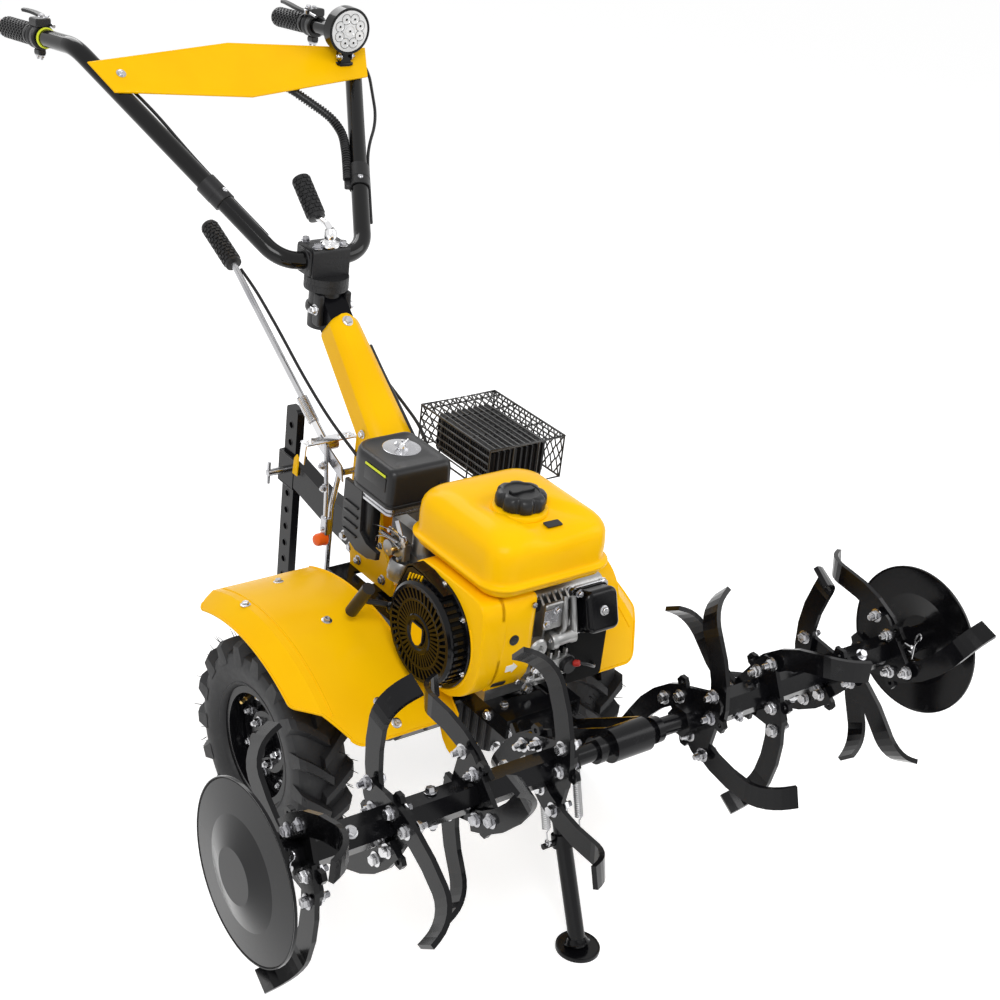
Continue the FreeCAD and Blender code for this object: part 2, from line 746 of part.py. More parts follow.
def build_rotor():
    rotor_y = size("rotor_y")
    rotor_z = size("rotor_z")
    half = size("rotor_half_width")
    gauge = size("tine_plate_gauge")
    inner = size("rotor_sleeve_start")
    end = half - size("guard_disc_dish")
    sleeve_radius = size("rotor_sleeve_radius")
    tube = Part.makeCylinder(size("rotor_tube_radius"), 2 * inner + 40, at(-inner - 20, rotor_y, rotor_z), X_AXIS)
    sleeves = []
    for side in (-1, 1):
        start = inner if side > 0 else -end
        sleeves.append(hexagon(sleeve_radius, end - inner, at(start, rotor_y, rotor_z)))
        collar = side * (size("carrier_half_gap") + size("plate_gauge") + 22)
        sleeves.append(Part.makeCylinder(size("rotor_tube_radius") + 6, 12,
                                         at(collar - 6, rotor_y, rotor_z), X_AXIS))
    keep_shape("rotor_shaft", tube.multiFuse(sleeves).removeSplitter())
    plates = []
    blades = {-1: [], 1: []}
    for place, direction, lean, sides in TINE_SETS:
        plate_x = tine_set_x(place)
        bore = hexagon(sleeve_radius, 4 * gauge, at(plate_x - 2 * gauge, rotor_y, rotor_z))
        plates.append(tine_plate(place, direction, lean).cut(bore))
        for third, outward in enumerate(sides):
            face_x = plate_x + outward * gauge / 2
            blade = tine_blade(face_x, outward, lean, direction + 120.0 * third)
            blades[-1 if place < 0 else 1].append(blade)
    keep_shape("tine_plates", Part.makeCompound(plates))
    keep_shape("tines_right", Part.makeCompound(blades[-1]))
    keep_shape("tines_left", Part.makeCompound(blades[1]))


def build_guard_discs():
    """A dished steel disc with a raised middle on each end of the rotor."""
    dish = size("guard_disc_dish")
    gauge = size("guard_disc_gauge")
    radius = size("guard_disc_radius")
    boss = size("rotor_sleeve_radius")
    profile = [V(0, 0, 0), V(0, boss + 14, 0), V(-dish * 0.45, radius * 0.62, 0), V(-dish * 0.62, radius - 4, 0),
               V(-dish, radius, 0)]
    under = [point - V(gauge, 0, 0) for point in profile[:4]]
    outline = [V(0, 0, 0)] + profile[1:4] + [V(-dish * 0.62 - gauge, radius, 0)] + list(reversed(under))
    face = Part.Face(Part.makePolygon(outline + [outline[0]]))
    disc = face.revolve(V(0, 0, 0), X_AXIS, 360)
    discs = []
    for side in (-1, 1):
        placed = disc.copy()
        if side < 0:
            placed = placed.mirror(V(0, 0, 0), X_AXIS)
        placed.translate(at(side * size("rotor_half_width"), size("rotor_y"), size("rotor_z")))
        length = size("guard_disc_dish") - gauge
        start = side * (size("rotor_half_width") - size("guard_disc_dish"))
        low = min(start, start + side * length)
        socket = Part.makeCylinder(size("rotor_sleeve_radius") - 4, length,
                                   at(low, size("rotor_y"), size("rotor_z")), X_AXIS)
        discs.append(placed.fuse(socket).removeSplitter())
    keep_shape("guard_discs", Part.makeCompound(discs))


build_rotor()
build_guard_discs()


# ---------------------------------------------------------------- engine

def build_block():
    """The crankcase on the bed with the barrel that leans forward out of it."""
    base = size("bed_height")
    crank = at(0, size("crank_y"), base + size("crank_height"))
    case = block(at(size("block_x"), size("crank_y") + 8, base + size("block_height") / 2),
                 size("block_width"), size("block_length"), size("block_height"))
    case = case.makeFillet(16, [edge for edge in case.Edges if along(edge, X_AXIS) and edge.CenterOfMass.z > crank.z])
    tilt = math.radians(size("cylinder_tilt"))
    lean = V(0, -math.cos(tilt), math.sin(tilt))
    barrel = block(V(0, 0, 0), size("cylinder_size"), size("cylinder_size"), size("head_reach"))
    barrel.translate(V(0, 0, size("head_reach") / 2))
    barrel.rotate(V(0, 0, 0), X_AXIS, 90 - size("cylinder_tilt"))
    barrel.translate(crank + V(size("cylinder_x"), 0, 0))
    keep_shape("engine_block", case.fuse(barrel).removeSplitter())
    fins = []
    count = 5
    face_y = size("crank_y") + 8 - size("block_length") / 2
    first_x = size("cylinder_x") - size("cylinder_size") / 2 - 10
    for number in range(count):
        x = first_x - size("fin_pitch") * number
        low = size("bed_height") + size("crank_height") - 8
        high = low + size("fin_size")
        outline = [at(x, face_y, low), at(x, face_y - 22, low + 10), at(x, face_y - 26, high - 22),
                   at(x, face_y, high)]
        fins.append(prism(outline, size("fin_gauge"), V(-1, 0, 0)))
    keep_shape("cylinder_fins", Part.makeCompound(fins))
    cover = block(V(0, 0, size("head_reach") + size("rocker_cover_depth") / 2),
                  size("rocker_cover_width"), size("rocker_cover_size"), size("rocker_cover_depth"))
    far = size("head_reach") + size("rocker_cover_depth")
    cover = cover.makeFillet(14, [edge for edge in cover.Edges if along(edge, Z_AXIS)])
    cover = cover.makeFillet(9, [edge for edge in cover.Edges if abs(edge.CenterOfMass.z - far) < 1e-6])
    cover.rotate(V(0, 0, 0), X_AXIS, 90 - size("cylinder_tilt"))
    cover.translate(crank + V(size("cylinder_x"), 0, 0))
    keep_shape("rocker_cover", cover)
    boot_at = at(size("cylinder_x") - size("cylinder_size") / 2 - 17, face_y, low - 44)
    boot = Part.makeCylinder(9, 16, boot_at, V(0, -1, 0))
    boot = boot.fuse(Part.makeCone(17, 13, 30, boot_at - V(0, 16, 0), V(0, -1, 0)))
    keep_shape("spark_plug_boot", boot.removeSplitter())


def build_blower():
    """The fan's volute: a round case about the crank that widens upward and forward to the fins."""
    radius = size("blower_radius")
    crank = at(size("blower_inner_x"), size("crank_y"), size("bed_height") + size("crank_height"))
    depth = size("blower_depth")
    base_z = size("bed_height")
    ring = Part.makeCylinder(radius, depth, crank - V(depth, 0, 0), X_AXIS)
    lobe = [crank + V(0, -radius, 0), crank + V(0, -radius - 14, 40), crank + V(0, -radius - 6, 92),
            crank + V(0, radius * 0.45, 102), crank + V(0, radius * 0.8, radius * 0.6), crank]
    front_y = size("crank_y") + 8 - size("block_length") / 2
    apron = [at(crank.x, front_y, base_z + 24), at(crank.x, front_y - 40, base_z + 56),
             at(crank.x, front_y - 40, base_z + 196), at(crank.x, front_y, base_z + 206)]
    wrap = prism(apron, size("blower_wrap"), X_AXIS)
    wrap = wrap.makeFillet(12, [edge for edge in wrap.Edges if edge.CenterOfMass.x > crank.x + 1
                                and abs(edge.CenterOfMass.y - front_y - AXLE_Y + 40) < 1])
    shape = ring.multiFuse([prism(lobe, depth, V(-1, 0, 0)), wrap]).removeSplitter()
    keep_shape("blower_housing", shape)
    recoil_x = crank.x - depth
    cover = Part.makeCone(size("recoil_radius"), size("recoil_radius") - 10, size("recoil_depth"),
                          V(recoil_x, crank.y, crank.z), V(-1, 0, 0))
    peak = [V(recoil_x, crank.y - 70, crank.z + 40), V(recoil_x, crank.y - 22, crank.z + 104),
            V(recoil_x, crank.y + 14, crank.z + 104), V(recoil_x, crank.y + 70, crank.z + 40)]
    cover = cover.fuse(prism(peak, size("recoil_depth") * 0.7, V(-1, 0, 0)))
    face_x = recoil_x - size("recoil_depth")
    slots = []
    for number in range(14):
        slot = block(V(face_x, 0, size("recoil_radius") * 0.68), 12, 5, size("recoil_radius") * 0.30)
        slot.rotate(V(0, 0, 0), X_AXIS, 360 * number / 14)
        slot.translate(V(0, crank.y, crank.z))
        slots.append(slot)
    cover = cover.cut(Part.makeCompound(slots))
    cover = cover.fuse(Part.makeCylinder(size("recoil_radius") * 0.4, 3, V(face_x, crank.y, crank.z), V(-1, 0, 0)))
    exit_y = size("recoil_radius") + 8
    exit_at = V(recoil_x - size("recoil_depth") / 2, crank.y, crank.z - 8)
    ferrule = Part.makeCylinder(10, exit_y - 50, exit_at + V(0, 50, 0), Y_AXIS)
    keep_shape("recoil_cover", cover.fuse(ferrule).removeSplitter())
    bar_top = at(size("recoil_handle_x"), size("recoil_handle_y") - 24, crank.z + 36)
    bar_foot = at(size("recoil_handle_x"), size("recoil_handle_y") + 20, crank.z - 30)
    pull = (bar_top + bar_foot) / 2
    cord_start = exit_at + V(0, exit_y + 4.7, 0)
    stem = rod(cord_start, pull, 5)
    bar = rod(bar_top, bar_foot, 11)
    keep_shape("recoil_handle", stem.fuse(bar).removeSplitter())


def build_tank():
    """The pressed fuel tank: a domed top shell and a shallow tray joined at a flange."""
    body = new_body("fuel_tank")
    plan = sketch_on(body, "XY_Plane", "-sizes.tank_drop")
    half_x = "sizes.tank_width / 2 - sizes.tank_flange"
    half_y = "sizes.tank_length / 2 - sizes.tank_flange"
    draw_outline(plan, [("-(%s)" % half_x, "-(%s)" % half_y), (half_x, "-(%s)" % half_y),
                        (half_x, half_y), ("-(%s)" % half_x, half_y)])
    pad(body, plan, "sizes.tank_drop + sizes.tank_rise", midplane=False)
    fillet_edges(body, "sizes.tank_corner", lambda edge: along(edge, Z_AXIS))
    top = size("tank_rise")
    fillet_edges(body, "sizes.tank_corner * 0.55", lambda edge: edge.CenterOfMass.z > top - 1e-6)
    seam = sketch_on(body, "XY_Plane")
    draw_outline(seam, [("-sizes.tank_width / 2", "-sizes.tank_length / 2"), ("sizes.tank_width / 2", "-sizes.tank_length / 2"),
                        ("sizes.tank_width / 2", "sizes.tank_length / 2"), ("-sizes.tank_width / 2", "sizes.tank_length / 2")])
    pad(body, seam, "5")
    fillet_edges(body, "sizes.tank_corner + sizes.tank_flange",
                 lambda edge: along(edge, Z_AXIS) and edge.Length < 5.5)
    set_place(body, "sizes.tank_x", "sizes.tank_y", "sizes.tank_seam_z" + BODY_RISE)
    keep(body, "fuel_tank")
    cap = doc.addObject("Part::Cylinder", "fuel_cap")
    cap.setExpression("Radius", "sizes.cap_radius")
    cap.setExpression("Height", "sizes.cap_height")
    set_place(cap, "sizes.tank_x - 10", "sizes.tank_y - 25", "sizes.tank_seam_z + sizes.tank_rise" + BODY_RISE)
    keep(cap, "fuel_cap")
    block_top = size("bed_height") + size("block_height")
    under = size("tank_seam_z") - size("tank_drop")
    legs = []
    for side in (-1, 1):
        legs.append(block(at(size("tank_x") + side * 50, size("tank_y") + 8, (block_top + under) / 2),
                          22, 120, under - block_top))
    keep_shape("tank_brackets", Part.makeCompound(legs))


def build_intake():
    """The air cleaner's box over its band, with the carburettor that joins it to the engine."""
    box = doc.addObject("Part::Box", "cleaner_box")
    box.setExpression("Length", "sizes.cleaner_width")
    box.setExpression("Width", "sizes.cleaner_length")
    box.setExpression("Height", "sizes.cleaner_height")
    doc.recompute()
    rounding = doc.addObject("Part::Fillet", "air_cleaner")
    rounding.Base = box
    middle_x = size("cleaner_width") / 2
    rounds = {True: size("cleaner_lobe_radius"), False: size("cleaner_corner_radius")}
    rounding.Edges = [(number + 1,) + (rounds[edge.CenterOfMass.x < middle_x],) * 2
                      for number, edge in enumerate(box.Shape.Edges) if along(edge, Z_AXIS)]
    set_place(rounding, "sizes.cleaner_x - sizes.cleaner_width / 2",
              "sizes.cleaner_y - sizes.cleaner_length / 2", "sizes.cleaner_z" + BODY_RISE)
    keep(rounding, "air_cleaner")
    foot = at(size("cleaner_x"), size("cleaner_y"), size("cleaner_z"))
    band = block(foot - V(0, 0, 7), size("cleaner_width") - 6, size("cleaner_length") - 6, 14)
    for left, radius in rounds.items():
        band = band.makeFillet(radius - 3, [edge for edge in band.Edges if along(edge, Z_AXIS)
                                            and (edge.CenterOfMass.x < foot.x) == left
                                            and edge.Length > 13])
    keep_shape("cleaner_base", band)
    block_rear = size("crank_y") + 8 + size("block_length") / 2
    under = size("cleaner_z") - 14
    body_z = size("bed_height") + 128
    body = block(at(size("cleaner_x"), block_rear + 50, body_z), 56, 60, 62)
    flange = block(at(size("cleaner_x"), block_rear + 10, body_z), 44, 20, 44)
    neck = Part.makeCylinder(24, under - body_z - 31, at(size("cleaner_x"), block_rear + 50, body_z + 31))
    bowl = Part.makeCylinder(22, 30, at(size("cleaner_x"), block_rear + 50, body_z - 61))
    duct_end = size("cleaner_y") - 20
    duct_start = block_rear + 26
    duct = block(at(size("cleaner_x"), (duct_start + duct_end) / 2, under - 11), 48, duct_end - duct_start, 22)
    keep_shape("carburettor", body.multiFuse([flange, neck, bowl, duct]).removeSplitter())


def build_exhaust():
    """The finned muffler on its pipe, inside a cage of crossed wires."""
    middle = at(size("muffler_x"), size("muffler_y"), size("muffler_z") + size("muffler_height") / 2)
    can = block(middle, size("muffler_width") - 16, size("muffler_length") - 16, size("muffler_height") - 10)
    can = can.makeFillet(12, [edge for edge in can.Edges if along(edge, Y_AXIS)])
    block_rear = size("crank_y") + 8 + size("block_length") / 2
    port = at(60, block_rear, size("bed_height") + 140)
    riser = V(middle.x - 40, middle.y - 32, port.z + 18)
    can_floor = middle.z - size("muffler_height") / 2 + 10
    pipe = tube_along(rounded_wire([port, V(port.x, middle.y - 92, port.z), riser,
                                    V(riser.x, riser.y, can_floor)], [26, 22]), 13)
    fins = []
    for number in range(9):
        across = (number - 4) * 12.0
        fins.append(block(middle + V(across, 0, 0), 3, size("muffler_length"), size("muffler_height")))
    keep_shape("muffler", can.multiFuse(fins + [pipe]).removeSplitter())
    build_wire_guard(middle)


def build_wire_guard(middle):
    """A cage of square wires over the muffler: a net on the top and on four sides, open below."""
    gap = size("wire_guard_gap")
    gauge = size("wire_gauge")
    half_x = size("muffler_width") / 2 + gap
    half_y = size("muffler_length") / 2 + gap
    top = middle.z + size("muffler_height") / 2 + gap
    low = middle.z - size("muffler_height") / 2
    wires = []
    pitch = size("wire_pitch")
    count_x = int(2 * half_x / pitch)
    count_y = int(2 * half_y / pitch)
    for number in range(count_x + 1):
        x = middle.x - half_x + 2 * half_x * number / count_x
        wires.append(block(V(x, middle.y, top), gauge, 2 * half_y + gauge, gauge))
        for end in (-1, 1):
            wires.append(block(V(x, middle.y + end * half_y, (top + low) / 2), gauge, gauge, top - low))
    for number in range(count_y + 1):
        y = middle.y - half_y + 2 * half_y * number / count_y
        wires.append(block(V(middle.x, y, top), 2 * half_x + gauge, gauge, gauge))
        for end in (-1, 1):
            wires.append(block(V(middle.x + end * half_x, y, (top + low) / 2), gauge, gauge, top - low))
    count_z = int((top - low) / pitch)
    for number in range(count_z + 1):
        z = low + (top - low) * number / count_z
        for end in (-1, 1):
            wires.append(block(V(middle.x + end * half_x, middle.y, z), gauge, 2 * half_y + gauge, gauge))
            wires.append(block(V(middle.x, middle.y + end * half_y, z), 2 * half_x + gauge, gauge, gauge))
    for end in (-1, 1):
        foot_y = middle.y + end * (half_y - 20)
        wires.append(block(V(middle.x, foot_y, low - gauge / 2), 2 * half_x, 14, gauge))
    keep_shape("muffler_guard", wires[0].multiFuse(wires[1:]).removeSplitter())


build_block()
build_blower()
build_tank()
build_intake()
build_exhaust()


# ---------------------------------------------------------------- belt guard and fenders

def build_belt_guard():
    """The closed case over the drive belt: a long round-ended box from the crank down to the gearbox."""
    side_x = size("block_x") + size("block_width") / 2
    crank = at(side_x + 10, size("crank_y"), size("bed_height") + size("crank_height"))
    lower = at(crank.x, size("belt_guard_foot_y"), size("gearbox_top") - 52)
    depth = size("belt_guard_depth")
    top = size("belt_guard_top_radius")
    foot = size("belt_guard_foot_radius")
    rounds = [Part.makeCylinder(top, depth, crank, X_AXIS), Part.makeCylinder(foot, depth, lower, X_AXIS)]
    run = (lower - crank).normalize()
    side = X_AXIS.cross(run)
    web = prism([crank + side * top, lower + side * foot, lower - side * foot, crank - side * top], depth, X_AXIS)
    stub = Part.makeCylinder(26, 10, crank - V(10, 0, 0), X_AXIS)
    neck = size("gearbox_width") / 2
    shaft = Part.makeCylinder(24, lower.x - neck, V(neck, lower.y, lower.z), X_AXIS)
    keep_shape("belt_guard", rounds[0].multiFuse([rounds[1], web, stub, shaft]).removeSplitter())


def build_fender(side_name, side, toe_inner, inner):
    """A pressed fender: an arched sheet over the wheel, a sloped outer lip, an inner web and a toe."""
    outer = size("fender_outer")
    radius = size("fender_radius")
    gauge = size("fender_gauge")
    lip = size("fender_lip")
    centre_y = size("fender_centre_y")
    centre_z = size("fender_centre_z")
    centre = at(0, centre_y, centre_z)
    section = [(toe_inner, radius - gauge), (outer - lip, radius - gauge), (outer, radius - gauge - lip * 0.7),
               (outer, radius - lip * 0.7), (outer - lip, radius), (toe_inner, radius)]
    face = Part.Face(Part.makePolygon([V(x * side, 0, r) for x, r in section + section[:1]]))
    face.translate(centre)
    front = size("fender_front")
    rear = size("fender_rear")
    rear_angle = math.degrees(math.asin((rear - centre_y) / (radius - lip))) + 6
    front_angle = math.degrees(math.asin((centre_y - front) / (radius - lip))) + 6
    face.rotate(centre, X_AXIS, -rear_angle)
    sheet_shape = face.revolve(centre, X_AXIS, rear_angle + front_angle)
    toe_rear = front + size("fender_toe_length")
    plan_points = [(toe_inner - 1, front), (outer - 74, front), (outer + 1, size("fender_side_front")),
                   (outer + 1, rear), (inner, rear), (inner, toe_rear), (toe_inner - 1, toe_rear)]
    if toe_inner == inner:
        plan_points = plan_points[:4] + [(inner - 1, rear)]
    plan = prism([at(x * side, y, 100) for x, y in plan_points], 500, Z_AXIS)
    bend = [edge for edge in plan.Edges if along(edge, Z_AXIS)
            and abs(edge.CenterOfMass.x) > inner + 5]
    plan = plan.makeFillet(34, bend)
    sheet_shape = sheet_shape.common(plan)

    def under_sheet(y):
        return centre_z + math.sqrt((radius - gauge / 2) ** 2 - (y - centre_y) ** 2)

    toe = [(toe_rear, 300), (front + 30, 262), (front + 16, 250), (front + 4, 246), (front - 9, 252),
           (front - 15, 266), (front - 14, 284), (front - 8, 304), (front + 0.5, under_sheet(front) - 1)]
    points = [at(side * toe_inner, y, z) for y, z in toe]
    points += [at(side * toe_inner, y, under_sheet(y)) for y in (front + 3, (front + toe_rear) / 2, toe_rear)]
    pieces = [prism(points, gauge, V(side, 0, 0))]
    web = [(-20, 352), (96, 334), (114, 350)]
    points = [at(side * inner, y, z) for y, z in web]
    points += [at(side * inner, y, under_sheet(y)) for y in (114, 40, -40, -110, -180, toe_rear)]
    points += [at(side * inner, toe_rear, under_sheet(toe_rear) - 30)]
    pieces.append(prism(points, gauge, V(side, 0, 0)))
    if toe_inner != inner:
        step = [at(side * toe_inner, toe_rear - gauge, under_sheet(toe_rear - gauge)),
                at(side * inner, toe_rear - gauge, under_sheet(toe_rear - gauge)),
                at(side * (inner + gauge), toe_rear - gauge, under_sheet(toe_rear) - 30),
                at(side * toe_inner, toe_rear - gauge, 304)]
        pieces.append(prism(step, gauge, Y_AXIS))
    keep_shape("fender_" + side_name, sheet_shape.multiFuse(pieces).removeSplitter())


def build_fender_arms():
    """Flat bars from the bed's rails out to the fenders' webs."""
    bars = []
    edge = size("bed_width") / 2
    front_y = size("fender_front") + 20
    for side, toe_inner, web_inner in ((-1, size("fender_toe_inner"), size("fender_inner")),
                                       (1, size("fender_inner"), size("fender_guard_inner"))):
        for bar_y, bar_z, inner in ((front_y, 344, toe_inner), (70, 356, web_inner)):
            reach = inner - edge
            bars.append(block(at(side * (edge + reach / 2), bar_y, bar_z), reach, 20, size("plate_gauge")))
    keep_shape("fender_arms", Part.makeCompound(bars))


build_belt_guard()
build_fender("right", -1, size("fender_toe_inner"), size("fender_inner"))
build_fender("left", 1, size("fender_inner"), size("fender_guard_inner"))
build_fender_arms()


# ---------------------------------------------------------------- column, hitch and drag bar

COLUMN_FOOT = at(0, size("column_foot_y"), size("column_foot_z"))
COLUMN_HEAD = at(0, size("swivel_y"), size("swivel_z") - 29)


def build_column():
    """The box column between two base plates, its cover channel, and the fixed half of the swivel."""
    run = (COLUMN_HEAD - COLUMN_FOOT).normalize()
    face = V(0, -run.z, run.y)
    half = size("column_size") / 2
    gauge = size("plate_gauge")

    def ring(centre, wide, deep):
        return Part.makePolygon([centre + V(x * wide / 2, 0, 0) + face * (y * deep / 2)
                                 for x, y in ((-1, -1), (1, -1), (1, 1), (-1, 1), (-1, -1))])

    low = COLUMN_FOOT - run * 30
    tube = Part.makeLoft([ring(low, 2 * half, 2 * half), ring(COLUMN_HEAD, 2 * half, 2 * half)], True, True)
    post = Part.makeCylinder(size("swivel_radius") - 10, 76, at(0, size("swivel_y"), size("swivel_z") - 84))
    flange = Part.makeCylinder(size("swivel_radius"), size("swivel_flange"),
                               at(0, size("swivel_y"), size("swivel_z") - size("swivel_flange")))
    plates = []
    bed_top = size("bed_height")
    for side in (-1, 1):
        x = side * half
        outline = [at(x, 62, bed_top), at(x, 196, bed_top), at(x, 214, 470), at(x, 208, 640), at(x, 176, 668),
                   at(x, 132, 622), at(x, 126, 560), at(x, 104, 460), at(x, 62, 410)]
        plates.append(prism(outline, gauge, V(side, 0, 0)))
    sole = block(at(0, 129, bed_top + gauge / 2), 2 * (half + gauge), 134, gauge)
    socket = post.fuse(flange).removeSplitter()
    keep_shape("swivel_socket", socket)
    keep_shape("column", tube.multiFuse([sole] + plates).cut(socket).removeSplitter())
    start = COLUMN_FOOT - run * 22
    end = COLUMN_HEAD - run * 62
    depth = 2 * half + 16
    lift = face * 4
    outer = Part.makeLoft([ring(start + lift, 104, depth), ring(end + lift, 62, depth)], True, True)
    hollow = Part.makeLoft([ring(start - run + lift - face * 6, 98, depth + 6),
                            ring(end + run + lift - face * 6, 56, depth + 6)], True, True)
    spacers = []
    for share in (0.22, 0.78):
        foot = start + (end - start) * share + face * half
        spacers.append(Part.makeCylinder(9, 10.5, foot, face))
    keep_shape("column_cover", outer.cut(hollow).multiFuse(spacers).removeSplitter())


def build_hitch():
    """A box arm from the column's base plates to a sleeve, and the drag bar pinned in it."""
    gauge = size("plate_gauge")
    bar_y = size("drag_bar_y")
    deep = size("drag_bar_depth")
    wide = size("drag_bar_width")
    half = size("column_size") / 2
    mouth = bar_y - deep / 2 - 6
    arm = [at(-14, 186, 380), at(-14, 196, 452), at(-14, 330, 452), at(-14, mouth, 470), at(-14, mouth, 414),
           at(-14, 330, 396)]
    shape = prism(arm, 28, X_AXIS)
    shape = shape.fuse(block(at(0, 200, 416), 2 * half, 24, 60))
    sleeve = block(at(0, bar_y, size("hitch_z")), wide + 14, deep + 14, 64)
    shape = shape.fuse(sleeve)
    shape = shape.cut(block(at(0, bar_y, size("hitch_z")), wide + 0.4, deep + 0.4, 100))
    shape = shape.removeSplitter()
    keep_shape("hitch_arm", shape)
    bolt_z = size("hitch_z")
    bolt = Part.makeCylinder(7, 26, at(-wide / 2 - 33, bar_y, bolt_z), X_AXIS)
    keep_shape("hitch_bolt", bolt)
    body = new_body("drag_bar")
    sketch = sketch_on(body, "YZ_Plane")
    draw_outline(sketch, [("-sizes.drag_bar_depth / 2", "sizes.drag_bar_foot"),
                          ("sizes.drag_bar_depth / 2", "sizes.drag_bar_foot"),
                          ("sizes.drag_bar_depth / 2", "sizes.drag_bar_top"),
                          ("-sizes.drag_bar_depth / 2", "sizes.drag_bar_top")])
    pad(body, sketch, "sizes.drag_bar_width")
    fillet_edges(body, "8", lambda edge: along(edge, X_AXIS))
    hole = sketch_on(body, "YZ_Plane")
    count = int((size("drag_bar_top") - size("drag_bar_foot") - 30) / size("drag_hole_pitch"))
    for number in range(count + 1):
        draw_circle(hole, "0", "sizes.drag_bar_foot + 22 + %d * sizes.drag_hole_pitch" % number,
                    "sizes.drag_hole_radius")
    pocket_through(body, hole)
    set_place(body, "0", "sizes.drag_bar_y", BODY_RISE[3:])
    keep(body, "drag_bar")


build_column()
build_hitch()


# ---------------------------------------------------------------- handlebar

def bar_corners():
    """The corners of the handlebar's centre line, from the right grip to the left one."""
    right = [at(-size("grip_half"), size("grip_end_y"), size("grip_end_z")),
             at(-size("bar_top_half"), size("bar_top_y"), size("bar_top_z")),
             at(-size("bar_bottom_half"), size("crossbar_y"), size("crossbar_z"))]
    left = [V(-point.x, point.y, point.z) for point in reversed(right)]
    return right + left


def build_handlebar():
    radius = size("bar_radius")
    bend = size("bar_bend_radius")
    corners = bar_corners()
    path = rounded_wire(corners, [bend] * 4)
    keep_shape("handlebar_tube", tube_along(path, radius))
    swivel = at(0, size("swivel_y"), size("swivel_z"))
    head = Part.makeCylinder(size("swivel_radius"), size("swivel_flange"), swivel + V(0, 0, 0.3))
    crossbar = at(0, size("crossbar_y"), size("crossbar_z"))
    saddle_low = swivel.z + 0.3 + size("swivel_flange")
    saddle = block(V(0, crossbar.y, (saddle_low + crossbar.z + radius + 12) / 2), 76, 56,
                   crossbar.z + radius + 12 - saddle_low)
    saddle = saddle.makeFillet(10, [edge for edge in saddle.Edges
                                    if along(edge, X_AXIS) and edge.CenterOfMass.z > crossbar.z])
    bore = Part.makeCylinder(radius + size("running_gap"), 200, crossbar - V(100, 0, 0), X_AXIS)
    keep_shape("swivel_head", head.fuse(saddle).cut(bore).removeSplitter())
    ball = V(0, crossbar.y - 18, crossbar.z + radius + 12)
    bend_at = ball + V(0, 2, 34)
    grip_start = at(0, 432, 950)
    grip_end = at(0, 492, 1000)
    stem_path = rounded_wire([ball + V(0, 0, 3), bend_at, grip_start], [16])
    stem = tube_along(stem_path, size("lever_rod_radius"))
    knob = Part.makeCylinder(13, 8, ball)
    grip = rod(grip_start, grip_end, size("lever_grip_radius"))
    keep_shape("clamp_lever", stem.multiFuse([knob, grip]).removeSplitter())
    build_panel(corners)
    build_grips(corners)
    build_lamp(corners)
    build_handlebar_cables(corners)


def arm_point(corners, share):
    """A point on the left arm's centre line between its lower and upper corner."""
    return corners[3] + (corners[4] - corners[3]) * share


def build_panel(corners):
    """The flat cross panel screwed on the front of the two arms."""
    body = new_body("cross_panel")
    sketch = sketch_on(body, "XY_Plane")
    right_half = [("0", "-sizes.panel_mid_foot"), ("sizes.panel_foot_half", "-sizes.panel_end_foot"),
                  ("sizes.panel_top_half", "sizes.panel_end_top"), ("0", "sizes.panel_mid_top")]
    left_half = [("-sizes.panel_top_half", "sizes.panel_end_top"), ("-sizes.panel_foot_half", "-sizes.panel_end_foot")]
    draw_outline(sketch, right_half + left_half)
    pad(body, sketch, "sizes.panel_gauge", midplane=False)
    run = corners[4] - corners[3]
    slope = math.degrees(math.atan2(run.z, run.y))
    body.Placement = FreeCAD.Placement(V(0, 0, 0), FreeCAD.Rotation(X_AXIS, slope))
    body.setExpression("Placement.Rotation.Angle",
                       "atan((sizes.bar_top_z - sizes.crossbar_z) / (sizes.bar_top_y - sizes.crossbar_y))")
    place = arm_point(corners, size("panel_place"))
    normal = V(0, -math.sin(math.radians(slope)), math.cos(math.radians(slope)))
    base = V(0, place.y, place.z) + normal * size("bar_radius")
    body.Placement.Base = base
    keep(body, "cross_panel")


def build_grips(corners):
    """Rubber sleeves on the bar's two ends, and the clamped controls in front of them."""
    grips = []
    controls = []
    for end, upper in ((corners[0], corners[1]), (corners[5], corners[4])):
        side = -1 if end.x < 0 else 1
        run = (upper - end).normalize()
        start = end - run * 4
        sleeve = rod(start, end + run * size("grip_length"), size("grip_radius"))
        hollow = rod(end, end + run * (size("grip_length") + 10), size("bar_radius"))
        grips.append(sleeve.cut(hollow))
        clamp_at = end + run * (size("grip_length") + 26)
        ring = rod(clamp_at - run * 13, clamp_at + run * 13, size("bar_radius") + 6)
        ring = ring.cut(rod(clamp_at - run * 30, clamp_at + run * 30, size("bar_radius")))
        pod = block(clamp_at + V(0, 0, size("bar_radius") + 12), 30, 30, 18)
        lever_start = clamp_at + V(-side * 8, 10, size("bar_radius") + 16)
        lever = rod(lever_start, lever_start - run * 96 + V(-side * 6, 0, 10), 4)
        controls.append(ring.multiFuse([pod, lever]).removeSplitter())
    keep_shape("grips", Part.makeCompound(grips))
    keep_shape("hand_controls", Part.makeCompound(controls))


